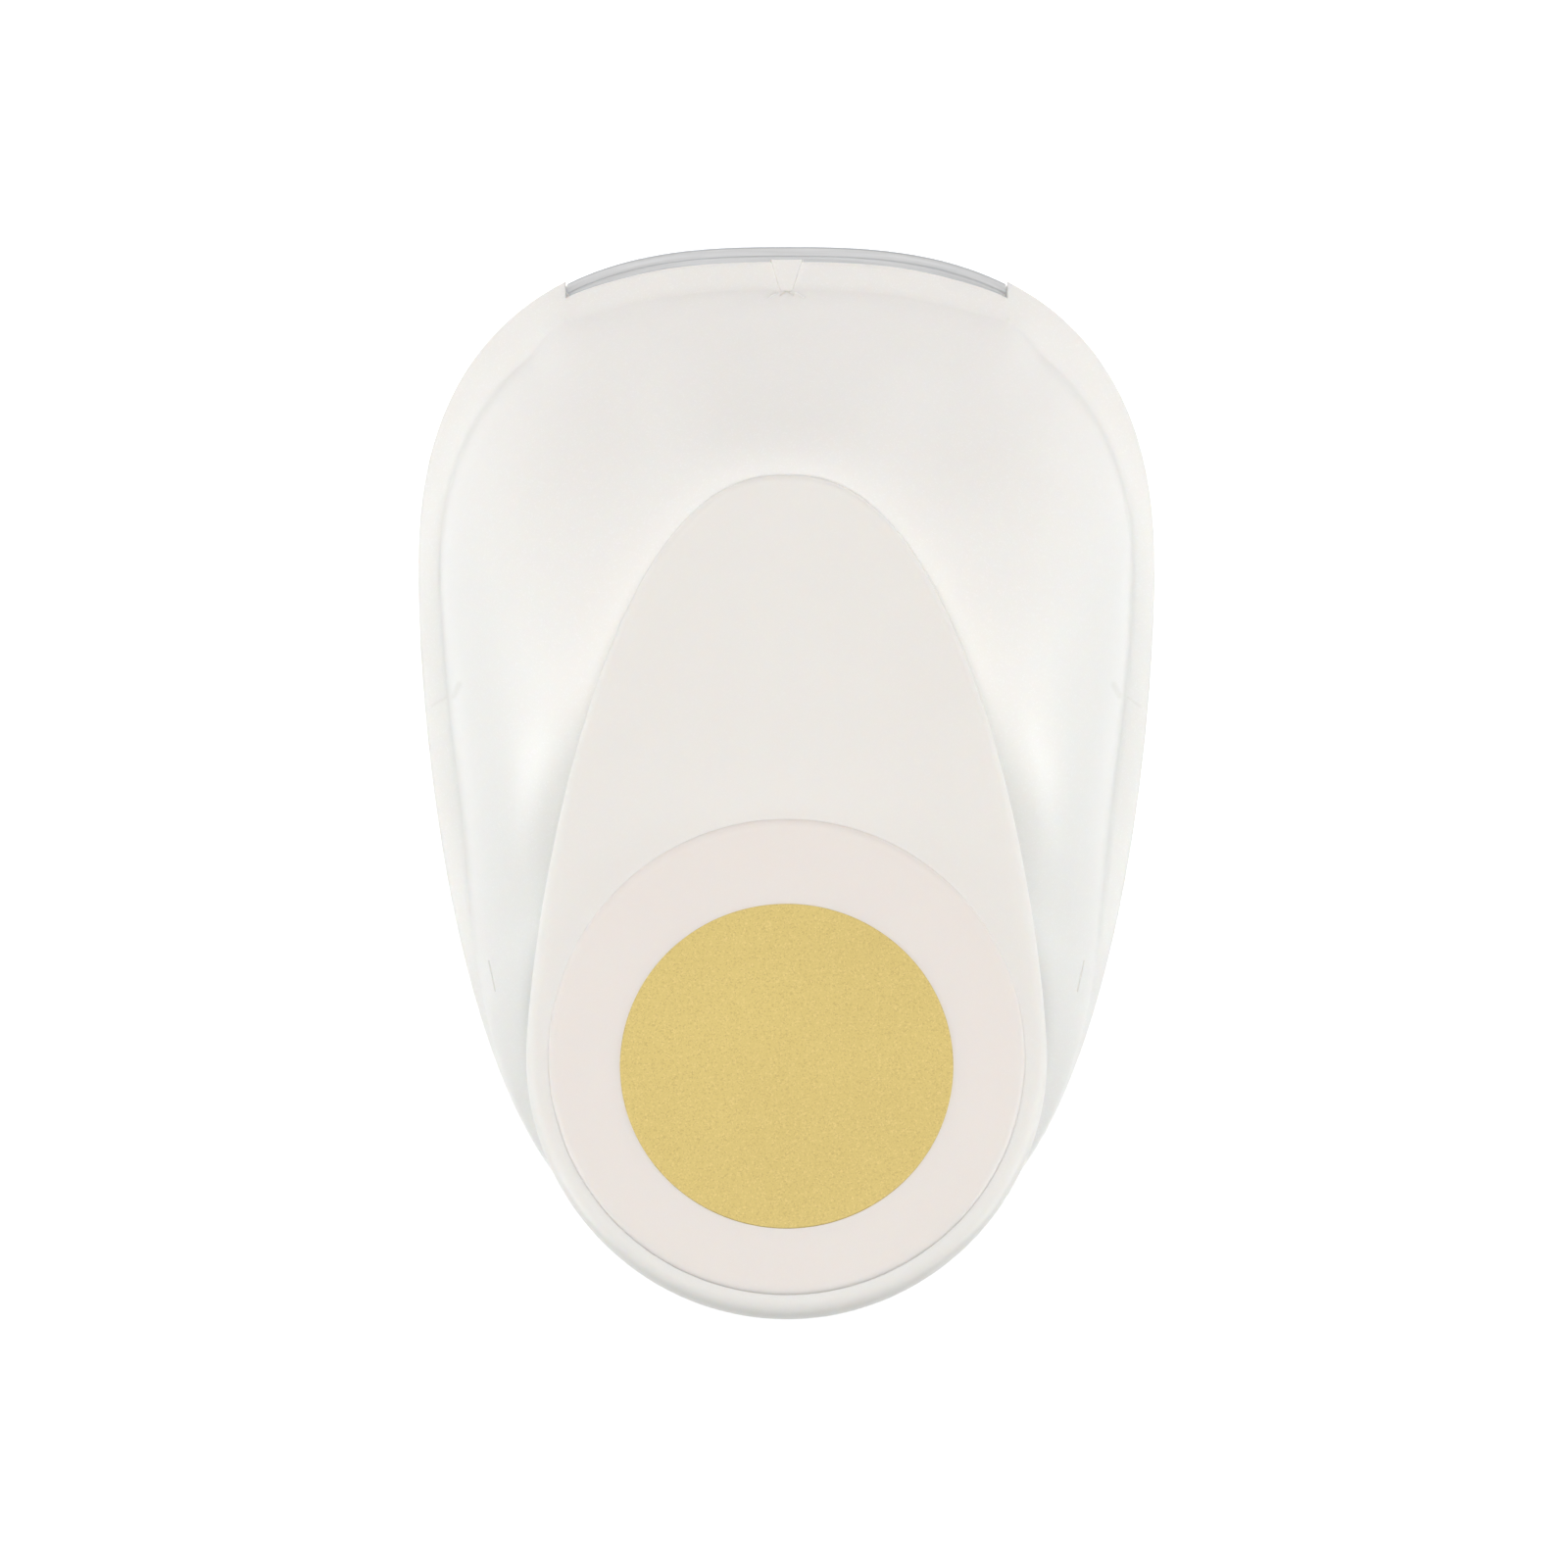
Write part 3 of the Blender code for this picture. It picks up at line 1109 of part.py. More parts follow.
def build_lever_arm():
    """Folded steel arm: a channel under the lever, with an eye on the pivot in each flange."""
    half = ARM_WIDTH / 2
    mesh = bmesh.new()
    add_side_prism(mesh, arm_outline(), -half, half)
    arm = carry("lever_axis", to_object("lever_arm", mesh, plated_steel("arm steel")))

    inside = bmesh.new()
    front = PIVOT_Y - EYE_RADIUS - OVERRUN
    rear = ARM_TAIL_Y + OVERRUN
    web = ARM_SHEET / math.cos(LEVER_TILT)
    floor = SLOT_TOP_Z
    outline = [(front, floor), (rear, floor), (rear, arm_top_z(rear) - web), (front, arm_top_z(front) - web)]
    add_side_prism(inside, outline, -half + ARM_SHEET, half - ARM_SHEET)
    combine(arm, as_tool("arm_channel_cut", inside), "DIFFERENCE")

    holes = bmesh.new()
    reach = half + OVERRUN
    add_cross_cylinder(holes, PIN_RADIUS + SLIDING_FIT, -reach, reach, (PIVOT_Y, PIVOT_HEIGHT))
    add_cross_cylinder(holes, PIN_RADIUS + SLIDING_FIT, -reach, reach, (PRESS_Y, PRESS_Z))
    for y in arm_screw_places():
        top = arm_top_z(y)
        add_cylinder(holes, SCREW_SHANK + SEAT_GAP, top - web - OVERRUN, top + OVERRUN, (0, y))
    combine(arm, as_tool("arm_holes", holes), "DIFFERENCE")


def build_press_roller():
    """Roller on a cross pin, which bears on the carrier."""
    mesh = bmesh.new()
    half = ARM_WIDTH / 2
    add_cross_cylinder(mesh, PIN_RADIUS, -half - SEAT_GAP, half + SEAT_GAP, (PRESS_Y, PRESS_Z))
    carry("lever_axis", to_object("press_pin", mesh, plated_steel("press pin steel")))

    roller = bmesh.new()
    reach = half - ARM_SHEET - SEAT_GAP
    centre = (PRESS_Y, PRESS_Z)
    bore = circle(PIN_RADIUS + ROLLER_BORE_FIT, PIN_SIDES, centre)
    rim = circle(ROLLER_RADIUS, PIN_SIDES, centre)
    rings = []
    for loop, x in ((bore, -reach), (rim, -reach), (rim, reach), (bore, reach)):
        rings.append(np.column_stack([np.full(PIN_SIDES, x), loop]))
    add_rings(roller, rings, wrap=True)
    carry("lever_axis", to_object("press_roller", roller, plated_steel("roller steel")))


def build_arm_screws():
    """Two screws from the arm's web up into the lever."""
    steel = plated_steel("arm screw steel")
    web = ARM_SHEET / math.cos(LEVER_TILT)
    tilt_room = SCREW_HEAD * math.tan(LEVER_TILT)
    for name, y in zip(("arm_screw_front", "arm_screw_rear"), arm_screw_places()):
        seat_z = arm_top_z(y) - web - tilt_room - SEAT_GAP
        end_z = arm_top_z(y) + SEAT_GAP + ARM_SCREW_DEPTH
        profile = [
            (SCREW_HEAD, seat_z - SCREW_HEAD_HEIGHT),
            (SCREW_HEAD, seat_z),
            (SCREW_SHANK, seat_z),
            (SCREW_SHANK, end_z),
        ]
        mesh = bmesh.new()
        add_turned(mesh, profile, (0, y), HEAD_SIDES)
        carry("lever_axis", to_object(name, mesh, steel))


def main():
    """Clear the scene and build every piece."""
    for item in list(bpy.data.objects):
        bpy.data.objects.remove(item, do_unlink=True)
    add_joint_frames()
    build_base_tray()
    build_die_plate()
    build_guide_plate()
    build_spacers()
    build_frame_rivets()
    build_upper_shell()
    build_housing_screws()
    build_pivot_pin()
    build_guide_posts()
    build_return_springs()
    build_punch_cutter()
    build_punch_carrier()
    build_bushes()
    build_carrier_screws()
    build_lever_shell()
    build_thumb_pad()
    build_lever_arm()
    build_press_roller()
    build_arm_screws()


main()
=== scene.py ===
# %% [markdown]
# # A lever craft punch for paper circles
#
# The punch stands on a white table and is seen from straight above. Its mouth, with a steel ledge for the
# paper, is at the top of the picture, and the sloping lever with its round thumb pad is at the bottom.
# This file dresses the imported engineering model: it keeps each part's place, gives the moulded and
# turned parts their smooth surfaces, and gives every part a finish.

import math

import bmesh
import bpy
import numpy as np
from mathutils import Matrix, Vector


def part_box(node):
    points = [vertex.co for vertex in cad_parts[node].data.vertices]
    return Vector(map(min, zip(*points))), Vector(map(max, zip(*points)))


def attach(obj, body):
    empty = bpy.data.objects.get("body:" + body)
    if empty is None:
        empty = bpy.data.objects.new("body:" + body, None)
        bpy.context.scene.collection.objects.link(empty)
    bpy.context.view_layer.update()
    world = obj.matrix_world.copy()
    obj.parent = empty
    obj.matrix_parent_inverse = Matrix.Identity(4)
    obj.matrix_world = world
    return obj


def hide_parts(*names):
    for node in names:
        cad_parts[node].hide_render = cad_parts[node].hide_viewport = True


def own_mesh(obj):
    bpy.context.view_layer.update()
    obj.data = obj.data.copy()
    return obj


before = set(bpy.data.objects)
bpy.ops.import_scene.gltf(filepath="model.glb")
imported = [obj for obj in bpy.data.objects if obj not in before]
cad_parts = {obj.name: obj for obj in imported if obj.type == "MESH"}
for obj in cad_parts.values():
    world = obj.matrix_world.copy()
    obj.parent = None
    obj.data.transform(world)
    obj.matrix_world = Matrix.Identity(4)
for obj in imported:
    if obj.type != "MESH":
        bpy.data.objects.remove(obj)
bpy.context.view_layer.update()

# %% [markdown]
# ## Sizes
#
# The surfaces below follow the same sizes as the engineering model, in metres, so that each visible piece
# lies where its solid is. A point's place along the punch is y: the mouth is at -y, the pad at +y.

# %% Sizes of the housing and the lever
FRONT_Y = -0.05505
REAR_Y = 0.05505
BODY_HALF = 0.0389
FRONT_REACH = 0.0350
TAIL_REACH = 0.0720
FRONT_POWERS = (2.4, 2.7)
TAIL_POWERS = (1.7, 3.5)
WIDEST_Y = FRONT_Y + FRONT_REACH
TABLE_TOP_Z = 0.0092
SLOT_TOP_Z = 0.0112
SEAM_Z = 0.0095
RIM_TOP_Z = 0.0134
SLOT_END_Y = -0.00685
DIE_HALF = 0.0233
HOLE_Y = -0.02805
LEVER_RADIUS = 0.0260
LEVER_POWERS = (1.49, 2.34)
PAD_Y = REAR_Y - LEVER_RADIUS
APEX_Y = FRONT_Y + 0.0256
LEVER_TILT = math.radians(15.0)
APEX_HEIGHT = 0.0420
PAD_RADIUS = LEVER_RADIUS * 0.914
PAD_STRETCH = 1.02
GOLD_RADIUS = LEVER_RADIUS * 0.907 * 0.703
DENSE = 2880
GAP = 0.0003
LIP_WIDTH = 0.0050
LIP_RISE = 0.0026
SHELL_THICKNESS = 0.0018
TRAY_WALL = 0.0020
TRAY_FLOOR = 0.0022
POST_RADIUS = 0.0020
FINE = 0.00001

# %% [markdown]
# ## Outlines
#
# Both the housing and the lever are egg shapes. A half superellipse, |x/a|^p + |y/b|^q = 1, gives a
# rounder or squarer end by its two powers, so two halves that meet on the widest line make the whole
# outline. Points are then spread at equal steps along it, because equal steps of angle crowd together.

# %% Outline helpers
def egg(half_width, middle_y, front, front_powers, rear, rear_powers):
    """Closed outline: x = a sgn(cos t)|cos t|^(2/q), y = m + b sgn(sin t)|sin t|^(2/p), with its own b, p
    and q in front of and behind the widest line."""
    turn = np.linspace(0, 2 * math.pi, DENSE, endpoint=False)
    across = np.cos(turn)
    along = np.sin(turn)
    behind = along > 0
    reach = np.where(behind, rear, front)
    along_power = np.where(behind, 2 / rear_powers[0], 2 / front_powers[0])
    across_power = np.where(behind, 2 / rear_powers[1], 2 / front_powers[1])
    x = half_width * np.sign(across) * np.abs(across) ** across_power
    y = middle_y + reach * np.sign(along) * np.abs(along) ** along_power
    return np.stack([x, y], axis=1)


def even(loop, count):
    """The same closed line with count points at equal steps along it, from its frontmost point."""
    turned = np.roll(loop, -int(np.argmin(loop[:, 1])), axis=0)
    closed = np.vstack([turned, turned[:1]])
    run = np.concatenate([[0], np.cumsum(np.linalg.norm(np.diff(closed, axis=0), axis=1))])
    wanted = np.linspace(0, run[-1], count, endpoint=False)
    return np.stack([np.interp(wanted, run, closed[:, axis]) for axis in (0, 1)], axis=1)


def inset(loop, distance):
    """Each point of a counter-clockwise line moved inward, along the bisector of its two edges."""
    after = np.roll(loop, -1, axis=0) - loop
    after /= np.linalg.norm(after, axis=1, keepdims=True)
    normal = np.stack([-after[:, 1], after[:, 0]], axis=1)
    bisector = normal + np.roll(normal, 1, axis=0)
    bisector /= np.linalg.norm(bisector, axis=1, keepdims=True)
    spread = np.maximum((bisector * normal).sum(axis=1, keepdims=True), 0.5)
    return loop + bisector / spread * distance


def radius_along(loop, angles, centre=(0, 0)):
    """Distance from a centre to a line round it, in each direction."""
    shifted = loop - np.asarray(centre)
    polar = np.arctan2(shifted[:, 1], shifted[:, 0])
    order = np.argsort(polar)
    return np.interp(angles, polar[order], np.linalg.norm(shifted, axis=1)[order], period=2 * math.pi)


def smooth_step(value, start, end):
    """3s^2 - 2s^3 of the share s of the way from start to end: level at both ends."""
    share = np.clip((value - start) / (end - start), 0, 1)
    return share * share * (3 - 2 * share)


body_line = egg(BODY_HALF, WIDEST_Y, FRONT_REACH, FRONT_POWERS, TAIL_REACH, TAIL_POWERS)
lever_line = egg(LEVER_RADIUS, PAD_Y, PAD_Y - APEX_Y, LEVER_POWERS, LEVER_RADIUS, (2, 2))
print("housing outline in mm:", np.round(np.ptp(even(body_line, 720), axis=0) * 1000, 1))
print("lever outline in mm:", np.round(np.ptp(even(lever_line, 720), axis=0) * 1000, 1))

# %% [markdown]
# ## From rows of points to a piece
#
# Nearly every part here is a stack of closed rings, each with the same number of points: a screw is rings
# of growing radius, and the housing is rings that run from its lower edge over the dome to the opening.
# One function turns such a grid into a mesh. Another rounds the corners of the profile first, since no
# moulded or turned part has a truly sharp edge, and a rounded edge is what catches the light.

# %% Mesh helpers
def soften(rows, radius, steps=4, closed=False, limit=0.45):
    """Each corner of a profile becomes a quadratic Bezier arc, (1-t)^2 b + 2t(1-t) p + t^2 a, whose ends b
    and a lie radius away on its two edges, or at a share (limit) of a shorter edge. Rows are rings."""
    p = np.asarray(rows, float)
    back = np.roll(p, 1, axis=0) - p
    ahead = np.roll(p, -1, axis=0) - p
    back_length = np.maximum(np.linalg.norm(back, axis=-1, keepdims=True), 1e-9)
    ahead_length = np.maximum(np.linalg.norm(ahead, axis=-1, keepdims=True), 1e-9)
    b = p + back / back_length * np.minimum(radius, limit * back_length)
    a = p + ahead / ahead_length * np.minimum(radius, limit * ahead_length)
    t = np.linspace(0, 1, steps).reshape((1, steps) + (1,) * (p.ndim - 1))
    arcs = (1 - t) ** 2 * b[:, None] + 2 * t * (1 - t) * p[:, None] + t**2 * a[:, None]
    arcs = arcs.reshape((-1,) + p.shape[1:])
    return arcs if closed else np.concatenate([p[:1], arcs[steps:-steps], p[-1:]])


def add_object(name, data):
    """Object with the given data, linked to the scene."""
    added = bpy.data.objects.new(name, data)
    bpy.context.scene.collection.objects.link(added)
    return added


def new_piece(name, points, faces, sharp=40):
    """Mesh object from points and faces, facing outward, smooth but for edges above sharp degrees."""
    mesh = bpy.data.meshes.new(name)
    mesh.from_pydata(np.asarray(points).tolist(), [], [list(face) for face in faces])
    shape = bmesh.new()
    shape.from_mesh(mesh)
    bmesh.ops.remove_doubles(shape, verts=shape.verts, dist=1e-7)
    bmesh.ops.recalc_face_normals(shape, faces=shape.faces)
    shape.to_mesh(mesh)
    shape.free()
    mesh.shade_smooth()
    mesh.set_sharp_from_angle(angle=math.radians(sharp))
    return add_object(name, mesh)


def from_rings(name, rings, wrap=False, sharp=40):
    """Piece from rings[row, around, xyz]. Neighbouring rings are joined by quads; wrap joins the last row
    to the first, and otherwise a fan of triangles closes each end on its middle point."""
    rows, around = rings.shape[:2]
    index = np.arange(rows * around).reshape(rows, around)
    upper = np.roll(index, -1, axis=0) if wrap else index[1:]
    lower = index if wrap else index[:-1]
    quads = np.stack([lower, np.roll(lower, -1, 1), np.roll(upper, -1, 1), upper], axis=-1).reshape(-1, 4)
    points = rings.reshape(-1, 3)
    faces = quads.tolist()
    if not wrap:
        points = np.vstack([points, rings[0].mean(axis=0), rings[-1].mean(axis=0)])
        for ring, pole in ((index[0], rows * around), (index[-1], rows * around + 1)):
            fan = np.stack([ring, np.roll(ring, -1), np.full(around, pole)], axis=1)
            faces += fan.tolist()
    return new_piece(name, points, faces, sharp)


def at_height(loop, height):
    """Ring of 3-D points from a plan line and one height, or one height a point."""
    return np.column_stack([loop, np.broadcast_to(height, (len(loop),))])


def round_line(radius, count, centre=(0, 0), corners=0):
    """Points of a circle, or of a polygon of that inner radius when corners is given:
    r / cos((t mod 2pi/n) - pi/n)."""
    turn = np.linspace(0, 2 * math.pi, count, endpoint=False)
    if corners:
        sector = 2 * math.pi / corners
        radius = radius / np.cos(turn % sector - sector / 2)
    return np.stack([centre[0] + radius * np.cos(turn), centre[1] + radius * np.sin(turn)], axis=1)


def turned(name, profile, centre, axis="Z", count=64, edge=0.0001, bored=False, corners=()):
    """Solid of revolution: each (radius, height) of the profile is a ring round the axis. The rows listed in
    corners are hexagons, for a driver's socket. A bored piece has a closed profile."""
    profile = np.asarray(profile, float)
    rings = np.stack([
        at_height(round_line(radius, count, corners=6 if row in corners else 0), height)
        for row, (radius, height) in enumerate(profile)
    ])
    rings = soften(rings, edge, 3, closed=bored)
    if axis == "X":
        rings = rings[..., [2, 0, 1]]
        rings += np.array([0, *centre])
    else:
        rings += np.array([*centre, 0])
    return from_rings(name, rings, wrap=bored)


def carve(piece, tool, operation="DIFFERENCE"):
    """Cut a piece with a shape, or join the shape to it, and keep the result as the piece's own mesh."""
    step = piece.modifiers.new("carve", "BOOLEAN")
    step.operation = operation
    step.solver = "EXACT"
    step.object = tool
    bpy.context.view_layer.update()
    result = bpy.data.meshes.new_from_object(piece.evaluated_get(bpy.context.evaluated_depsgraph_get()))
    piece.modifiers.remove(step)
    piece.data = result
    result.shade_smooth()
    result.set_sharp_from_angle(angle=math.radians(40))
    bpy.data.objects.remove(tool, do_unlink=True)


# %% [markdown]
# ## Finishes
#
# The housing and lever are pearly white plastic: not quite white, a little translucent, with a very fine
# satin grain and, in the housing, tiny mica flakes whose glitter is painted: they are whiter specks in the
# colour, standing in for glints. Noise on object coordinates gives grain of a real size in millimetres,
# whatever the piece. Its strength stays low, since from arm's length the grain only softens the highlight.

# %% Node helpers
def blank_material(name, roughness, metallic=0.0):
    """Material with a Principled shader, and its nodes, links and object coordinates."""
    material = bpy.data.materials.new(name)
    material.use_nodes = True
    tree = material.node_tree
    shader = tree.nodes["Principled BSDF"]
    shader.inputs["Roughness"].default_value = roughness
    shader.inputs["Metallic"].default_value = metallic
    place = tree.nodes.new("ShaderNodeTexCoord").outputs["Object"]
    return material, tree, shader, place


def add_node(tree, kind, inputs, operation=None, data_type=None):
    """Shader node whose inputs are plain values or the outputs of other nodes."""
    node = tree.nodes.new(kind)
    if operation:
        node.operation = operation
    if data_type:
        node.data_type = data_type
    for key, value in inputs.items():
        if isinstance(value, bpy.types.NodeSocket):
            tree.links.new(value, node.inputs[key])
        else:
            node.inputs[key].default_value = value
    return node


def noise(tree, place, per_metre, detail=2.0, stretch=(1, 1, 1)):
    """Noise with so many waves a metre, drawn out along an axis by a smaller stretch."""
    moved = add_node(tree, "ShaderNodeMapping", {"Vector": place, "Scale": stretch}).outputs["Vector"]
    inputs = {"Vector": moved, "Scale": per_metre, "Detail": detail}
    return add_node(tree, "ShaderNodeTexNoise", inputs).outputs["Fac"]


def flakes(tree, place, per_metre):
    """One random value for each cell of a cellular pattern."""
    cells = add_node(tree, "ShaderNodeTexVoronoi", {"Vector": place, "Scale": per_metre})
    return add_node(tree, "ShaderNodeSeparateColor", {"Color": cells.outputs["Color"]}).outputs["Red"]


def spread(tree, value, low, high, start=0.3, end=0.7):
    """Value mapped from start..end to low..high."""
    inputs = {"Value": value, "From Min": start, "From Max": end, "To Min": low, "To Max": high}
    return add_node(tree, "ShaderNodeMapRange", inputs).outputs["Result"]


def blend_colours(tree, factor, first, second):
    """Colour between two, by a factor. The first may be another node's colour."""
    start = first if isinstance(first, bpy.types.NodeSocket) else (*first, 1)
    inputs = {"Factor": factor, "A": start, "B": (*second, 1)}
    return add_node(tree, "ShaderNodeMix", inputs, data_type="RGBA").outputs["Result"]


def arithmetic(tree, operation, first, second):
    """Two values put together by an operation. The second may be a plain number."""
    return add_node(tree, "ShaderNodeMath", {0: first, 1: second}, operation).outputs[0]


def relief(tree, shader, height, depth, strength=1.0, after=None):
    """Bump of a real depth in metres."""
    node = add_node(tree, "ShaderNodeBump", {"Distance": depth, "Strength": strength, "Height": height})
    if after is not None:
        tree.links.new(after, node.inputs["Normal"])
    tree.links.new(node.outputs["Normal"], shader.inputs["Normal"])
    return node.outputs["Normal"]


# %% Plastic finishes
# MARK_SHADE is the colour of the painted shade in the dents of the marks.
MARK_SHADE = (0.50, 0.46, 0.36)


def line_mask(tree, place, start, end, width):
    """1 on a short line and 0 beyond its width, seen from above and on both sides of the punch. A point p is
    |p - a - t (b - a)| from the segment a..b, with t = (p - a).(b - a) / |b - a|^2 kept in 0..1."""
    start, end = np.array([*start, 0.0]), np.array([*end, 0.0])
    run = end - start

    def vector(operation, inputs, output=0):
        return add_node(tree, "ShaderNodeVectorMath", inputs, operation).outputs[output]

    folded = vector("ABSOLUTE", {0: place})
    signed = vector("MULTIPLY", {0: place, 1: (0, 1, 0)})
    across = vector("MULTIPLY", {0: folded, 1: (1, 0, 0)})
    offset = vector("SUBTRACT", {0: vector("ADD", {0: signed, 1: across}), 1: tuple(start)})
    share = vector("DOT_PRODUCT", {0: offset, 1: tuple(run / (run @ run))}, "Value")
    nearest = vector("SCALE", {0: tuple(run), "Scale": spread(tree, share, 0, 1, 0, 1)})
    distance = vector("LENGTH", {0: vector("SUBTRACT", {0: offset, 1: nearest})}, "Value")
    return spread(tree, distance, 1, 0, width * 0.3, width)


def pearl_plastic(name, colour, shade, painted_glint_share, marks=()):
    """Moulded plastic: slow clouds between two close colours, satin grain, and painted glints, whiter specks
    for mica flakes, by their share.
    Marks are lines along which the skin has sunk: the bump dents it, and the colour is darkened as painted
    shade."""
    material, tree, shader, place = blank_material(name, 0.38)
    clouds = noise(tree, place, 60, 3)
    base = blend_colours(tree, spread(tree, clouds, 0, 1), colour, shade)
    # Painted glints: mica flakes as whiter specks in the colour, which show under any lamp.
    painted_glints = spread(tree, flakes(tree, place, 8000), 0, painted_glint_share, 0.80, 1.0)
    surface = blend_colours(tree, painted_glints, base, (1, 1, 1))
    normal = relief(tree, shader, noise(tree, place, 3200, 3), 2 * FINE, 0.35)
    # Painted shade: each mark darkens the colour towards MARK_SHADE, besides denting the bump.
    for start, end, width, shadow in marks:
        mask = line_mask(tree, place, start, end, width)
        surface = blend_colours(tree, spread(tree, mask, 0, shadow, 0, 1), surface, MARK_SHADE)
        normal = relief(tree, shader, mask, -2 * FINE, 1.0, after=normal)
    tree.links.new(surface, shader.inputs["Base Color"])
    tree.links.new(spread(tree, noise(tree, place, 900, 4), 0.28, 0.40), shader.inputs["Roughness"])
    shader.inputs["Specular IOR Level"].default_value = 0.5
    shader.inputs["Subsurface Weight"].default_value = 0.25
    shader.inputs["Subsurface Radius"].default_value = (1.0, 0.72, 0.5)
    shader.inputs["Subsurface Scale"].default_value = 0.0018
    return material


# Painted light: the housing's colours are the lever's white made about six percent lighter, to brighten the
# housing beyond what the lamps give it.
HOUSING_COLOURS_PAINTED_LIGHTER = ((0.894, 0.889, 0.862), (0.884, 0.877, 0.848), 0.30)
housing_plastic = pearl_plastic("housing plastic", *HOUSING_COLOURS_PAINTED_LIGHTER)
lever_plastic = pearl_plastic("lever plastic", (0.850, 0.838, 0.803), (0.840, 0.826, 0.791), 0.08)
pad_plastic = pearl_plastic("pad plastic", (0.848, 0.804, 0.764), (0.838, 0.794, 0.754), 0.05)
print("plastics:", housing_plastic.name, lever_plastic.name, pad_plastic.name)

# %% [markdown]
# The die is ground steel: fine scratches run along the mouth, so the noise is stretched along x. The other
# steel is plated sheet or bar with a duller, cloudy skin. The springs are drawn wire, and the bushes are
# sintered bronze, which is porous.

# %% Metal finishes
def metal(name, colour, darker, roughness, waves, stretch, depth, own_map=False):
    """Metal with a colour that follows its scratches, a roughness that drifts a little, and fine relief. With
    its own map, the scratches follow the piece's UV map in place of its axes."""
    material, tree, shader, place = blank_material(name, roughness, 1.0)
    if own_map:
        place = place.node.outputs["UV"]
    marks = noise(tree, place, waves, 4, stretch)
    tone = blend_colours(tree, spread(tree, marks, 0, 1), colour, darker)
    tree.links.new(tone, shader.inputs["Base Color"])
    drift = noise(tree, place, 140, 3)
    tree.links.new(spread(tree, drift, roughness - 0.06, roughness + 0.08), shader.inputs["Roughness"])
    relief(tree, shader, marks, depth, 0.5)
    return material


GROUND = ((0.72, 0.725, 0.735), (0.60, 0.605, 0.615), 0.34, 2600, (0.06, 1, 1), FINE)
LEDGE = ((0.745, 0.795, 0.85), (0.606, 0.646, 0.686), 0.34, 2600, (0.03, 1, 1), FINE, True)
PLATED = ((0.70, 0.70, 0.69), (0.60, 0.61, 0.61), 0.32, 700, (1, 1, 1), FINE)
DRAWN = ((0.52, 0.52, 0.52), (0.42, 0.42, 0.42), 0.3, 1800, (1, 1, 0.3), FINE)
SINTERED = ((0.60, 0.43, 0.23), (0.46, 0.31, 0.15), 0.42, 3400, (1, 1, 1), 2 * FINE)
ground_steel = metal("ground steel", *GROUND)
ledge_steel = metal("ledge steel", *LEDGE)
plated_steel = metal("plated steel", *PLATED)
spring_wire = metal("spring wire", *DRAWN)
bronze = metal("sintered bronze", *SINTERED)
print("metals:", [m.name for m in (ground_steel, ledge_steel, plated_steel, spring_wire, bronze)])

# %% [markdown]
# The round inlay in the pad is matt gold card. Close up it is a field of tiny flakes, some brighter and some
# darker, which read as a fine sparkle: the brighter ones are painted glints in the colour. A cellular pattern
# gives each flake its own brightness.

# %% Gold finish
def gold_card():
    """Flakes of three colours on a slightly metallic ground, the brightest being painted glints, with a
    painted cloudy sheen and a grain you can feel.
    """
    material, tree, shader, place = blank_material("gold card", 0.5, 0.45)
    # Painted sheen: slow clouds of a slightly darker gold in the colour.
    clouds = spread(tree, noise(tree, place, 45, 3), 0, 1)
    ground = blend_colours(tree, clouds, (0.706, 0.573, 0.211), (0.666, 0.536, 0.196))
    # The first, brighter flakes are painted glints; the second kind are darker flakes.
    for rarest, tint, size in ((0.70, (0.84, 0.69, 0.30), 7000), (0.72, (0.52, 0.39, 0.14), 8200)):
        share = spread(tree, flakes(tree, place, size), 0, 0.6, rarest, 1.0)
        ground = blend_colours(tree, share, ground, tint)
    tree.links.new(ground, shader.inputs["Base Color"])
    tree.links.new(spread(tree, flakes(tree, place, 7000), 0.46, 0.62, 0, 1), shader.inputs["Roughness"])
    relief(tree, shader, noise(tree, place, 6500, 3), 2 * FINE, 0.4)
    return material


gold = gold_card()
print("inlay:", gold.name)

# %% [markdown]
# ## Dressing a body
#
# Each finished piece gets its material, rides on the body that carries it, and stands for its engineering
# part, which is hidden. One short function does all of that.

# %% Dress helper
def dress(piece, body, slot, material, *nodes):
    """Give a piece its finish, the body it rides on, and the nodes it stands for. Its slot is not used."""
    piece.data.materials.clear()
    piece.data.materials.append(material)
    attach(piece, body)
    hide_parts(*nodes)


plated = ("plated_steel", plated_steel)
ground = ("die_steel", ground_steel)

# %% [markdown]
# ## The upper shell
#
# The shell is one skin with a hole along its back for the lever. In each direction from the middle it has
# the same profile: up a short wall, over a narrow rim, then up a dome to the edge of the hole, and back
# down inside. At the mouth the rim widens into a sloping lip, and the dome leans back instead of standing
# up. A superellipse quarter, climb = (1 - (1 - s)^p)^(1/q), covers both: p = q = 2 is a full round side,
# and p = 1.5, q = 1 a straight, easy slope. So the whole shell is a function of two numbers, direction and
# share of the way up, and the two kinds of profile are mixed by how far a direction is from the mouth.

# %% Profile of the upper shell
LIP_BLEND = (math.radians(20.0), math.radians(60.0))
LIP_SETBACK = 0.0020
OPENING_EDGE = 0.0022
BESIDE_MOUTH = 0.0070
DOME_HEIGHT = 0.0406
TAIL_HEIGHT = 0.0180
DOME_ROWS = 30
INNER_ROWS = 12


def climb(share, power, root):
    """Superellipse quarter from 0 to 1."""
    return (1 - (1 - share) ** power) ** (1 / root)


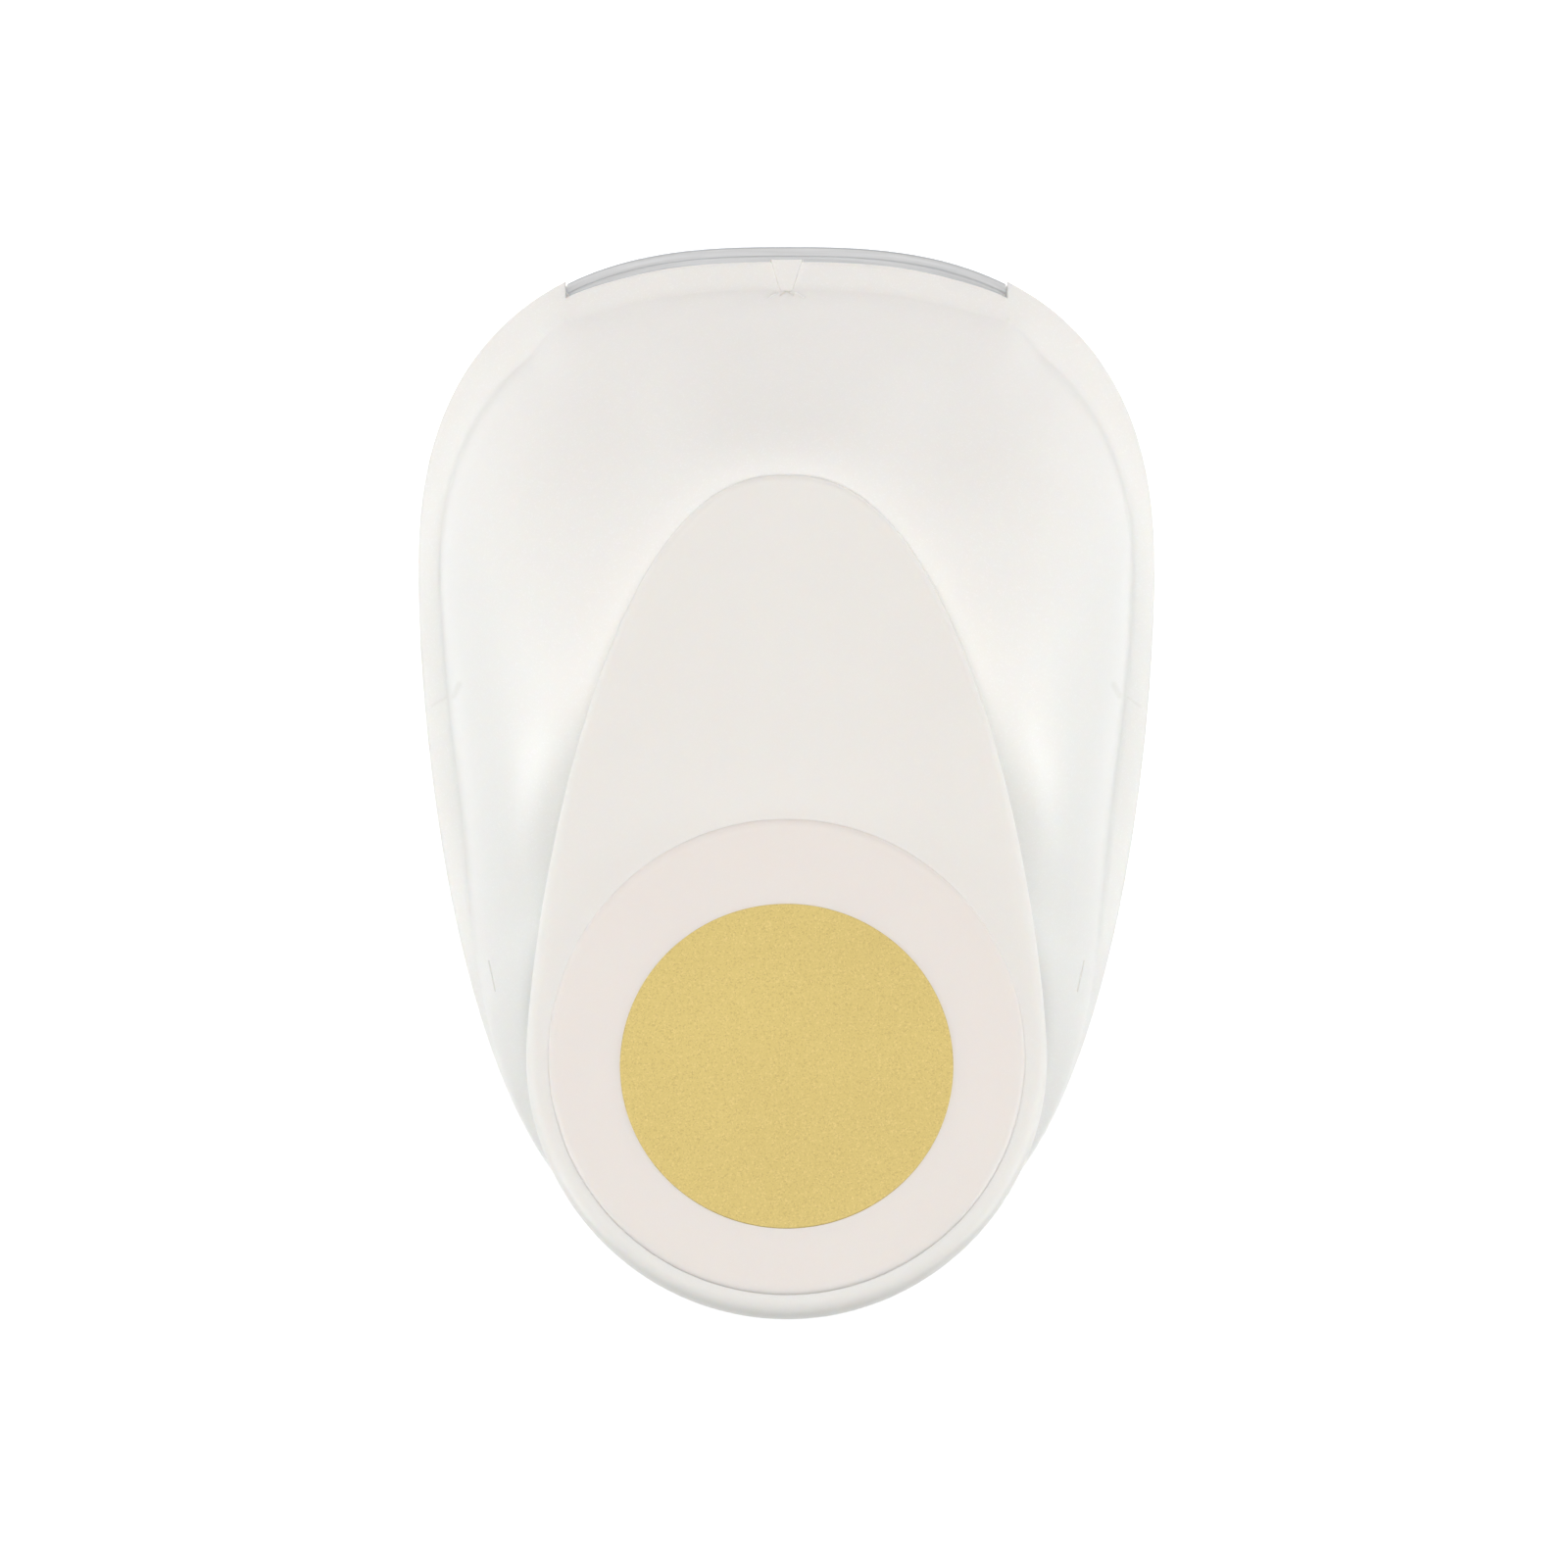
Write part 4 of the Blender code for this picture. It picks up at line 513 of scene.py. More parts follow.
def shell_angles(count):
    """Directions at equal steps along the outline, with two close together at each place where the wall
    steps: at the sides of the mouth, and at the ends of the paper slot."""
    outline = even(body_line, DENSE)
    base = even(body_line, count)
    angles = np.arctan2(base[:, 1], base[:, 0])
    front = outline[outline[:, 1] < WIDEST_Y]
    mouth = front[np.argmin(np.abs(front[:, 0] - DIE_HALF))]
    right = outline[outline[:, 0] > 0]
    slot = right[np.argmin(np.abs(right[:, 1] - SLOT_END_Y))]
    steps = [math.atan2(y, side * x) for x, y in (mouth, slot) for side in (-1, 1)]
    close = 0.0004
    pairs = [step + offset for step in steps for offset in (-close, close)]
    kept = angles[np.min(np.abs(angles[:, None] - np.array(steps)), axis=1) > 2 * close]
    return np.sort(np.concatenate([kept, pairs])), mouth


def shell_rings(count):
    """Rows of the shell, from the inner lower edge, round the outside, and back down the inside."""
    angles, mouth = shell_angles(count)
    radius = radius_along(body_line, angles)
    unit = np.stack([np.cos(angles), np.sin(angles)], axis=1)
    y = radius * unit[:, 1]
    opening = radius_along(inset(even(lever_line, DENSE), 0.0002), angles)
    opening = np.minimum(opening, radius_along(inset(even(body_line, DENSE), OPENING_EDGE), angles))
    depth = radius - opening
    from_front = np.abs((angles + math.pi / 2 + math.pi) % (2 * math.pi) - math.pi)
    side = smooth_step(from_front, *LIP_BLEND)
    narrow = 1 - 0.92 * smooth_step(y, REAR_Y - 0.0536, REAR_Y - 0.0166)
    rim = np.minimum((LIP_WIDTH - 0.0022 * side) * narrow, depth / 2)
    crease_z = RIM_TOP_Z + LIP_RISE - 0.0012 * side
    edge_y = opening * unit[:, 1]
    edge_z = DOME_HEIGHT + (TAIL_HEIGHT - DOME_HEIGHT) * smooth_step(edge_y, REAR_Y - 0.0646, REAR_Y - 0.0166)
    rear = smooth_step(edge_y, REAR_Y - 0.0570, REAR_Y - 0.0390)
    power = 1.65 + (0.35 - 0.9 * rear) * side
    root = 1.0 + (1.0 - 0.55 * rear) * side
    wall = 0.0046 - 0.0027 * side
    in_mouth = (np.abs(radius * unit[:, 0]) < mouth[0]) & (y < WIDEST_Y)
    setback = radius - radius_along(inset(even(body_line, DENSE), LIP_SETBACK), angles)
    start = np.where(in_mouth, setback, 0)
    bottom = np.where(y < SLOT_END_Y, SLOT_TOP_Z, SEAM_Z)
    slope = (crease_z - RIM_TOP_Z) / np.maximum(rim, 1e-4)
    inner_start = np.minimum(rim + 0.0019, (depth + wall) / 2)
    inner_crease = crease_z - SHELL_THICKNESS
    from_die_end = np.abs(np.abs(radius * unit[:, 0]) - DIE_HALF)
    beside_mouth = (1 - smooth_step(from_die_end, 0, BESIDE_MOUTH)) * (y < WIDEST_Y)

    def row(reach, height):
        """Ring at a reach inward. Beside the mouth its points go straight back, abreast of the die's ends."""
        reach = np.broadcast_to(reach, angles.shape)
        line = unit * (radius - reach)[:, None]
        straight = np.minimum(reach, rim) * (1 - smooth_step(reach, rim, rim + 0.010))
        line[:, 0] += unit[:, 0] * beside_mouth * straight
        return at_height(line, height)

    foot = [row(wall, bottom), row(start, bottom), row(start, RIM_TOP_Z + start * slope)]
    foot.append(row((start + rim) / 2, RIM_TOP_Z + (start + rim) / 2 * slope))
    shares = np.linspace(0, 1, DOME_ROWS) ** 1.7
    dome = [
        row(rim + (depth - rim) * s, crease_z + (edge_z - crease_z) * climb(s, power, root))
        for s in shares
    ]
    inner = [
        row(
            inner_start + (depth - inner_start) * s,
            inner_crease + (edge_z - OPENING_EDGE - inner_crease) * climb(s, power, root),
        )
        for s in np.linspace(1, 0, INNER_ROWS) ** 1.6
    ]
    end = [row(wall, inner_crease - 0.0006)]
    radii = np.full((len(foot) + 1, len(angles)), 0.00045)
    radii[-1] = 0.0012
    lower = soften(np.stack(foot + [dome[0], dome[3]]), np.vstack([radii, radii[:1]])[..., None], 7)[1:-1]
    upper = soften(np.stack([dome[-2], dome[-1], inner[0], inner[1]]), 0.0005, 5)[1:-1]
    rows = [np.stack(foot[:1]), lower, np.stack(dome[3:-1]), upper, np.stack(inner[1:] + end)]
    return np.concatenate(rows)


rings = shell_rings(560)
upper_shell = from_rings("upper_shell", rings, wrap=True, sharp=30)
print("upper shell:", rings.shape[0], "rows of", rings.shape[1], "points")

# %% [markdown]
# Small marks break the smooth skin. A raised pointer on the lip shows the middle of the punch, and a small
# chevron closes its narrow end. A snap slit low on each side lets the halves click together. Each is cut or
# raised by a shape whose foot follows the skin, found by dropping a ray on it, so that it is as deep at one
# end as at the other. The mould has also left two faint sink marks in the rim where the paper slot ends, too
# shallow to cut, so these go into the shell's finish as dents along two short lines, with painted shade: the
# colour is darkened along them.

# %% Marks on the upper shell
def skin_z(x, y):
    """Height of the upper shell at a place, from a ray dropped on it."""
    hit, place, _, _ = upper_shell.ray_cast((x, y, 0.1), (0, 0, -1))
    return place[2] if hit else SLOT_TOP_Z


def bar(name, start, end, width, below, above, top_width=None):
    """Bar along a line on the skin, from a depth below it to a height above it. Its top may be narrower."""
    start, end = np.array(start), np.array(end)
    along = (end - start) / np.linalg.norm(end - start)
    across = np.array([-along[1], along[0]])
    heights = [skin_z(*start), skin_z(*end)]
    rings = []
    for half, lift in ((width / 2, -below), ((width if top_width is None else top_width) / 2, above)):
        corners = [start - across * half, end - across * half, end + across * half, start + across * half]
        rise = np.array([heights[0], heights[1], heights[1], heights[0]]) + lift
        rings.append(at_height(np.array(corners), rise))
    return from_rings(name, np.stack(rings))


def pointer_tool():
    """Tapered pointer with sloping sides, whose top is parallel to the lip: z rises with y by its slope."""
    start = FRONT_Y + LIP_SETBACK - 0.0002
    end = start + 0.0034
    slope = LIP_RISE / LIP_WIDTH
    rings = []
    for spread_out, lift in ((0.0001, -0.0008), (-0.0001, 0.0004)):
        front_half, rear_half = 0.0017 + spread_out, 0.0007 + spread_out
        corners = [(-front_half, start), (front_half, start), (rear_half, end), (-rear_half, end)]
        rise = np.array([RIM_TOP_Z + (y - FRONT_Y) * slope + lift for _, y in corners])
        rings.append(at_height(np.array(corners), rise))
    return from_rings("pointer", np.stack(rings))


carve(upper_shell, pointer_tool(), "UNION")
tip = FRONT_Y + LIP_SETBACK + 0.0033
marks = []
for side in (-1, 1):
    marks += [
        bar("chevron", (side * 0.0001, tip), (side * 0.0007, tip + 0.0005), 0.00018, 0.00025, 0.002),
        bar("slit", (side * 0.0312, 0.0205), (side * 0.0305, 0.0238), 0.00016, 0.00015, 0.004),
    ]
WING_SECTION = (0.00035, 0.0005, 0.00018, 0.00014)
wings = [
    bar("wing", (side * 0.0009, tip + 0.0001), (side * 0.0020, tip + 0.0008), *WING_SECTION)
    for side in (-1, 1)
]
for tool in marks:
    carve(upper_shell, tool)
for tool in wings:
    carve(upper_shell, tool, "UNION")
# Painted shade: each sink mark darkens the shell's colour along its line, by its last number, besides its
# dent.
sink_marks_painted_shade = [
    ((0.0374, -0.0062), (0.0360, -0.0071), 0.00022, 0.10),
    ((0.0347, -0.0072), (0.0340, -0.0083), 0.00050, 0.16),
]
shell_plastic = pearl_plastic("shell plastic", *HOUSING_COLOURS_PAINTED_LIGHTER, marks=sink_marks_painted_shade)
dress(upper_shell, "housing", "housing_plastic", shell_plastic, "upper_shell")
print("upper shell after the marks:", len(upper_shell.data.polygons), "faces")

# %% [markdown]
# ## The base tray
#
# The lower half is a shallow tray. Seen from its round outlet, where the paper circles fall out, the tray is
# a ring: one profile that runs from the outlet along the flat underside, up the side and down again inside,
# carried round the outlet's axis. The front wall is lower where the steel die lies on it.

# %% Tray
OUTLET_RADIUS = 0.0215
OUTLET_WALL = 0.0030
DIE_BOTTOM_Z = 0.0076
TRAY_DRAFT = 0.0016
TRAY_CHAMFER = 0.0010
TRAY_CHAMFER_INSET = 0.0006
DRAFT_TOP_Z = 0.0072
TRAY_EDGE = 0.0003


def tray_rings(count):
    """Rows of the tray, from the top of the outlet's wall, under the base, up the side and back inside."""
    angles = np.linspace(-math.pi, math.pi, count, endpoint=False)
    centre = np.array([0, HOLE_Y])
    outline = even(body_line, DENSE)
    unit = np.stack([np.cos(angles), np.sin(angles)], axis=1)
    side, chamfer, foot, inside = (
        radius_along(inset(outline, distance), angles, centre)
        for distance in (0, TRAY_CHAMFER_INSET, TRAY_DRAFT, TRAY_WALL)
    )
    wall_top = centre + unit * side[:, None]
    low = (np.abs(wall_top[:, 0]) < DIE_HALF + GAP) & (wall_top[:, 1] < WIDEST_Y)
    rim_z = np.where(low, DIE_BOTTOM_Z - GAP, TABLE_TOP_Z)

    def row(radius, height):
        return at_height(centre + unit * np.broadcast_to(radius, angles.shape)[:, None], height)

    rows = [
        row(OUTLET_RADIUS, DIE_BOTTOM_Z - GAP),
        row(OUTLET_RADIUS, 0),
        row(foot, 0),
        row(chamfer, TRAY_CHAMFER),
        row(side, DRAFT_TOP_Z),
        row(side, rim_z),
        row(inside, rim_z),
        row(inside, TRAY_FLOOR),
        row(OUTLET_RADIUS + OUTLET_WALL, TRAY_FLOOR),
        row(OUTLET_RADIUS + OUTLET_WALL, DIE_BOTTOM_Z - GAP),
    ]
    return soften(np.stack(rows), TRAY_EDGE, 4, closed=True)


tray = from_rings("base_tray", tray_rings(480), wrap=True, sharp=35)
print("tray faces:", len(tray.data.polygons))

# %% [markdown]
# Four screws from below hold the halves together. Each has its counterbore in the tray and a hexagon socket
# in its head. Their places are read from the engineering model.

# %% Housing screws
SCREW_HEAD = 0.0022
SCREW_SHANK = 0.0011
SCREW_SOCKET = 0.0007
BOSS_RADIUS = 0.0034
BORE_DEPTH = 0.0020

for number in range(1, 5):
    node = f"housing_screw_{number}"
    low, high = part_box(node)
    place = ((low[0] + high[0]) / 2, (low[1] + high[1]) / 2)
    boss = turned("boss", [(BOSS_RADIUS, 0.0012), (BOSS_RADIUS, TABLE_TOP_Z)], place, count=48)
    carve(tray, boss, "UNION")
    wide, fine = SCREW_HEAD + GAP, SCREW_SHANK + GAP
    bore = [(wide, -0.002), (wide, BORE_DEPTH), (fine, BORE_DEPTH), (fine, 0.012)]
    carve(tray, turned("bore", bore, place, count=48, edge=2 * FINE))
    head = low[2]
    head_top = head + 0.0014
    profile = [
        (SCREW_SOCKET, head + SCREW_SOCKET),
        (SCREW_SOCKET, head),
        (SCREW_HEAD, head),
        (SCREW_HEAD, head_top),
        (SCREW_SHANK, head_top),
        (SCREW_SHANK, high[2] - 0.0004),
        (0.0007, high[2]),
    ]
    screw = turned(node + "_turned", profile, place, count=48, corners=(0, 1))
    dress(screw, "housing", *plated, node)
dress(tray, "housing", "housing_plastic", housing_plastic, "base_tray")
print("tray with bosses and bores:", len(tray.data.polygons), "faces")

# %% [markdown]
# ## The steel die
#
# Only the front edge of the die shows, as the bright ledge under the lip. It is a plate with a round hole,
# so it is again a ring round the hole's axis. Two fine steps run along the ledge, where the plate was ground,
# and its front edge is rounded so that paper slides in.

# %% Die plate
DIE_HOLE_RADIUS = 0.0192
GROOVE_DEPTH = 2 * FINE


def die_outline():
    """Housing outline across the mouth, straight sides, and a square back, with points at close steps."""
    outline = even(body_line, DENSE)
    front = outline[(np.abs(outline[:, 0]) < DIE_HALF) & (outline[:, 1] < WIDEST_Y)]
    front = front[np.argsort(front[:, 0])]
    back = SLOT_END_Y + 0.0093
    side_y = np.linspace(front[-1, 1], back, 60)[1:]
    back_x = np.linspace(DIE_HALF, -DIE_HALF, 90)[1:-1]
    right = np.column_stack([np.full_like(side_y, DIE_HALF), side_y])
    across = np.column_stack([back_x, np.full_like(back_x, back)])
    left = (right * [-1, 1])[::-1]
    return np.vstack([front, right, across, left])


def pulled_in(outline, distance):
    """Outline whose front moves straight back by a distance. Its sides and back move in by a little of it."""
    corner_y = outline[outline[:, 0] > DIE_HALF - 0.0001, 1].min()
    share = np.clip((outline[:, 1] - corner_y) / (outline[:, 1].max() - corner_y), 0, 1)
    x = outline[:, 0] * (1 - 0.03 * distance / DIE_HALF)
    return np.column_stack([x, outline[:, 1] + distance * (1 - 1.03 * share)])


def die_rings():
    """Rows from the hole's upper edge over the ledge's steps, round the front edge and back underneath."""
    outline = die_outline()
    centre = np.array([0, HOLE_Y])
    offset = outline - centre
    hole = centre + offset / np.linalg.norm(offset, axis=1, keepdims=True) * DIE_HOLE_RADIUS
    groove = ((0.00135, 0), (0.00125, GROOVE_DEPTH), (0.00110, GROOVE_DEPTH), (0.00100, 0))
    rows = [at_height(hole, TABLE_TOP_Z)]
    rows += [at_height(pulled_in(outline, back), TABLE_TOP_Z - depth) for back, depth in groove]
    rows += [at_height(line, z) for line, z in ((outline, TABLE_TOP_Z), (outline, DIE_BOTTOM_Z))]
    rows.append(at_height(hole, DIE_BOTTOM_Z))
    radii = np.array([0.0001, 0.00003, 0.00003, 0.00003, 0.00003, 0.00032, 0.0002, 0.0001])
    return soften(np.stack(rows), radii[:, None, None], 5, closed=True)


def map_from_edge(piece, line):
    """UV map in metres: u along x, and v the distance behind the front line."""
    mesh = piece.data
    points = np.empty(len(mesh.vertices) * 3)
    mesh.vertices.foreach_get("co", points)
    points = points.reshape(-1, 3)
    corners = np.empty(len(mesh.loops), int)
    mesh.loops.foreach_get("vertex_index", corners)
    v = points[:, 1] - np.interp(points[:, 0], line[:, 0], line[:, 1])
    places = np.column_stack([points[:, 0], v])[corners]
    mesh.uv_layers.new(name="from edge").data.foreach_set("uv", places.ravel())


die = from_rings("die_plate", die_rings(), wrap=True, sharp=35)
edge_line = die_outline()
map_from_edge(die, edge_line[: int(np.argmax(edge_line[:, 0])) + 1])
dress(die, "housing", "die_steel", ledge_steel, "die_plate")
print("die faces:", len(die.data.polygons))

# %% [markdown]
# ## The lever
#
# The lever is a hollow cap: a sloping top with a thin skirt below it. Its rim stands out a little over the
# skirt and hides the gap to the housing. The rounding of the rim grows from the tip to the round end. Row by
# row, the rings go from under the top, down the inside of the skirt, up the outside, over the rim, and then
# change from the egg outline to the oval of the pad's pocket.

# %% Lever shell
SKIRT_WALL = 0.0020
RIM_ROUND = 0.0018


def top_z(y):
    """Height of the sloping top: a plane that rises by the tangent of the tilt."""
    return APEX_HEIGHT + (y - APEX_Y) * math.tan(LEVER_TILT)


def skirt_z(y):
    """Height of the skirt's lower edge, which swings up towards the round end."""
    return 0.0262 + 0.0138 * smooth_step(y, REAR_Y - 0.0406, REAR_Y - 0.0126)


def on_pad(loop, height):
    """Ring in the pad's own plane, turned by the tilt and set at the pad's centre."""
    along = loop[:, 1] * math.cos(LEVER_TILT) - height * math.sin(LEVER_TILT)
    rise = loop[:, 1] * math.sin(LEVER_TILT) + height * math.cos(LEVER_TILT)
    return np.column_stack([loop[:, 0], PAD_Y + along, top_z(PAD_Y) + rise])


def lever_rings(count):
    """Rows from the ceiling down the skirt, up the outside, over the rim and into the pad's pocket."""
    loop = even(lever_line, count)
    skirt = inset(loop, 0.0006)
    inner = inset(skirt, SKIRT_WALL)
    full = 0.40 + 0.40 * smooth_step(loop[:, 1], APEX_Y, APEX_Y + 0.010)
    full += 0.20 * smooth_step(loop[:, 1], APEX_Y, PAD_Y) + 0.80 * smooth_step(loop[:, 1], PAD_Y, REAR_Y)
    rim_z = top_z(loop[:, 1]) - RIM_ROUND * full - 0.0006
    around = np.arctan2((loop[:, 1] - PAD_Y) / math.cos(LEVER_TILT), loop[:, 0])
    oval = np.stack([np.cos(around), np.sin(around) * PAD_STRETCH], axis=1) * (PAD_RADIUS - 0.00002)
    rows = [
        at_height(inner, top_z(inner[:, 1]) - 0.0031),
        at_height(inner, skirt_z(inner[:, 1])),
        at_height(skirt, skirt_z(skirt[:, 1])),
        at_height(skirt, rim_z),
        at_height(loop, rim_z),
        at_height(loop, top_z(loop[:, 1])),
        on_pad(oval, 0.0),
        on_pad(oval, -0.0014),
    ]
    radii = np.full((8, count), 0.0002)
    radii[5] = RIM_ROUND * full
    radii[6] = 0.00004
    return soften(np.stack(rows), radii[..., None], 9, limit=0.9)


lever = from_rings("lever_shell", lever_rings(520), sharp=35)
dress(lever, "lever", "lever_plastic", lever_plastic, "lever_shell")
print("lever faces:", len(lever.data.polygons))

# %% [markdown]
# ## The thumb pad and its gold inlay
#
# The pad is let into the lever and stands a little proud, less so at its rear, with a rounded edge that
# catches a thin line of light. The inlay is a thin disc whose own edge is rounded by a tenth of a millimetre.

# %% Thumb pad and inlay
PAD_PROUD = 0.0009
PAD_LEAN = 0.017
INLAY_PROUD = 0.00015


def pad_rings(profile, edge, stretch, shift=0.0):
    """Rings in the pad's plane from (radius, height) rows, drawn out along the slope by stretch. The rows
    above the pocket lean, height - lean * y, so that the pad is less proud at its rear."""
    circle = round_line(1.0, 320) * np.array([1, stretch])
    rows = []
    for radius, height in profile:
        line = circle * radius + np.array([0, shift])
        lean = PAD_LEAN if height > GAP else 0
        rows.append(on_pad(line, height - lean * line[:, 1]))
    return soften(np.stack(rows), edge, 10, limit=0.9)


pad_profile = [(PAD_RADIUS, height) for height in (-0.0011, 5 * FINE, PAD_PROUD)]
pad_profile.append((GOLD_RADIUS, PAD_PROUD))
pad_edges = np.array([0, 0, 0.0010, 0])[:, None, None]
pad = from_rings("thumb_pad", pad_rings(pad_profile, pad_edges, PAD_STRETCH), sharp=35)
dress(pad, "lever", "lever_plastic", pad_plastic, "thumb_pad")
inlay_top = PAD_PROUD + INLAY_PROUD
gold_profile = [(GOLD_RADIUS, PAD_PROUD - GAP), (GOLD_RADIUS, inlay_top), (0.001, inlay_top)]
inlay = from_rings("gold_disc", pad_rings(gold_profile, 0.0001, 0.994, shift=0.0012), sharp=60)
dress(inlay, "lever", "gold_foil", gold, "gold_disc")
print("pad faces:", len(pad.data.polygons), "inlay faces:", len(inlay.data.polygons))

# %% [markdown]
# ## Turned parts inside
#
# Under the dome sit the pins, posts, bushes, rivets and screws. All are turned, so each is a profile of
# radius and height round its own axis, and the engineering model's box of each node gives the place.

# %% Turned parts
def middle(node):
    """Middle of a node's box, as a list."""
    low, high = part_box(node)
    return [(a + b) / 2 for a, b in zip(low, high)]


def upright(node, body, finish, profile, bored=False):
    """Dress a turned part with an upright axis through the middle of its node."""
    x, y, _ = middle(node)
    dress(turned(node + "_turned", profile, (x, y), bored=bored), body, *finish, node)


def crosswise(node, body, finish, profile, bored=False):
    """Dress a turned part whose axis lies across the punch."""
    _, y, z = middle(node)
    dress(turned(node + "_turned", profile, (y, z), axis="X", bored=bored), body, *finish, node)


def tube(inner, outer, low, high):
    """Profile of a plain ring."""
    return [(inner, low), (outer, low), (outer, high), (inner, high)]


SHOULDER = 0.0030
SHOULDER_Z = (0.0133, 0.0140)
BUSH_BORE = 0.0022
BUSH_RADIUS = 0.0030
COLLAR_RADIUS = 0.0038
SMALL_SHANK = 0.0009
SMALL_HEAD = 0.0018
RIVET_SHANK = 0.0012
RIVET_HEAD = 0.0021
RIVET_HEAD_HEIGHT = 0.0008

for side in ("left", "right"):
    low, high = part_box(f"guide_post_{side}")
    post = [(POST_RADIUS, low[2]), (POST_RADIUS, SHOULDER_Z[0]), (SHOULDER, SHOULDER_Z[0])]
    post += [(SHOULDER, SHOULDER_Z[1]), (POST_RADIUS, SHOULDER_Z[1])]
    post += [(POST_RADIUS, high[2] - 0.0004), (POST_RADIUS / 2, high[2])]
    upright(f"guide_post_{side}", "housing", plated, post)
    low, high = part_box(f"post_clip_{side}")
    upright(f"post_clip_{side}", "housing", plated, tube(0.0022, 0.0031, low[2], high[2]), bored=True)
    low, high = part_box(f"guide_bush_{side}")
    collar = high[2] - 0.0005
    bush = [(BUSH_BORE, low[2]), (BUSH_RADIUS, low[2]), (BUSH_RADIUS, collar)]
    bush += [(COLLAR_RADIUS, collar), (COLLAR_RADIUS, high[2]), (BUSH_BORE, high[2])]
    upright(f"guide_bush_{side}", "punch", ("bronze", bronze), bush, bored=True)
    low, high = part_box(f"carrier_screw_{side}")
    screw = [(SMALL_SHANK, low[2]), (SMALL_SHANK, high[2] - 0.0010), (SMALL_HEAD, high[2] - 0.0010)]
    screw += [(SMALL_HEAD, high[2] - 0.0003), (0.0011, high[2])]
    upright(f"carrier_screw_{side}", "punch", plated, screw)
for number in range(1, 5):
    low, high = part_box(f"frame_rivet_{number}")
    head_top = low[2] + RIVET_HEAD_HEIGHT
    rivet = [(0.0010, low[2]), (RIVET_HEAD, low[2] + 0.0006), (RIVET_HEAD, head_top), (RIVET_SHANK, head_top)]
    rivet += [(radius, low[2] + high[2] - z) for radius, z in reversed(rivet)]
    upright(f"frame_rivet_{number}", "housing", plated, rivet)
for node in ("arm_screw_front", "arm_screw_rear"):
    low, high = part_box(node)
    head_top = low[2] + 0.0014
    screw = [(0.0014, low[2]), (SCREW_HEAD, low[2] + 0.0004), (SCREW_HEAD, head_top)]
    screw += [(SCREW_SHANK, head_top), (SCREW_SHANK, high[2])]
    upright(node, "lever", plated, screw)
print("upright turned parts dressed")

# %% Pins across the punch
PIN_RADIUS = 0.0015
PIN_BORE = 0.0017

for node, body in (("pivot_pin", "housing"), ("press_pin", "lever")):
    low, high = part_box(node)
    crosswise(node, body, plated, [(PIN_RADIUS, low[0]), (PIN_RADIUS, high[0])])
low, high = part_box("press_roller")
roller = tube(PIN_BORE, 0.0023, low[0], high[0])
crosswise("press_roller", "lever", ("plated_steel", ground_steel), roller, bored=True)
for side in ("left", "right"):
    low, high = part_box(f"pin_clip_{side}")
    crosswise(f"pin_clip_{side}", "housing", plated, tube(PIN_BORE, 0.0026, low[0], high[0]), bored=True)
print("cross pins dressed")

# %% [markdown]
# ## Punch and springs
#
# The punch is a round block with a hollow face, so that only its rim shears the paper. The springs are round
# wire: a circle carried along a helix, whose turns lie close at both ends and open in between, as a real
# spring's ends are closed so that it stands straight.

# %% Punch cutter
CUTTER_RADIUS = 0.0190
CUTTER_INNER = 0.0170

low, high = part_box("punch_cutter")
cutter = [(CUTTER_INNER, low[2] + 0.0015), (CUTTER_INNER, low[2]), (CUTTER_RADIUS, low[2])]
cutter += [(CUTTER_RADIUS, high[2]), (0.0030, high[2])]
punch = turned("punch_cutter_turned", cutter, (0, HOLE_Y), count=160)
dress(punch, "punch", *ground, "punch_cutter")

# %% Return springs
WIRE = 0.0008
SPRING_TURNS = 5.5
COIL_RADIUS = SHOULDER + WIRE / 2


def coil_rings(centre, low, high):
    """Rings of a tube along a helix, x = r cos t, y = r sin t, whose height eases in and out so that the end
    turns lie close. Each ring spans the outward direction and the one square to it and to the wire."""
    turn = np.linspace(0, 2 * math.pi * SPRING_TURNS, int(SPRING_TURNS * 40) + 1)
    share = turn / turn[-1]
    eased = 0.55 * share + 0.45 * smooth_step(share, 0, 1)
    line = np.stack([
        centre[0] + COIL_RADIUS * np.cos(turn),
        centre[1] + COIL_RADIUS * np.sin(turn),
        low + (high - low) * eased,
    ], axis=1)
    along = np.gradient(line, axis=0)
    along /= np.linalg.norm(along, axis=1, keepdims=True)
    outward = np.stack([np.cos(turn), np.sin(turn), np.zeros_like(turn)], axis=1)
    up = np.cross(along, outward)
    wire = np.linspace(0, 2 * math.pi, 14, endpoint=False)
    ring = np.cos(wire)[None, :, None] * outward[:, None] + np.sin(wire)[None, :, None] * up[:, None]
    return line[:, None] + ring * WIRE / 2


for side in ("left", "right"):
    node = f"return_spring_{side}"
    low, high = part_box(node)
    x, y, _ = middle(f"guide_post_{side}")
    spring = from_rings(node + "_coil", coil_rings((x, y), low[2] + WIRE / 2, high[2] - WIRE / 2))
    dress(spring, "housing", "spring_wire", spring_wire, node)
    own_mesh(spring)

# %% [markdown]
# ## Sheet-steel parts
#
# The guide plate, its spacers, the carrier over the punch and the lever's arm are cut and folded sheet. Their
# solids already have the right shape. A copy with its doubled points merged gets a small bevel, as tumbled
# sheet has, so that its edges shine.

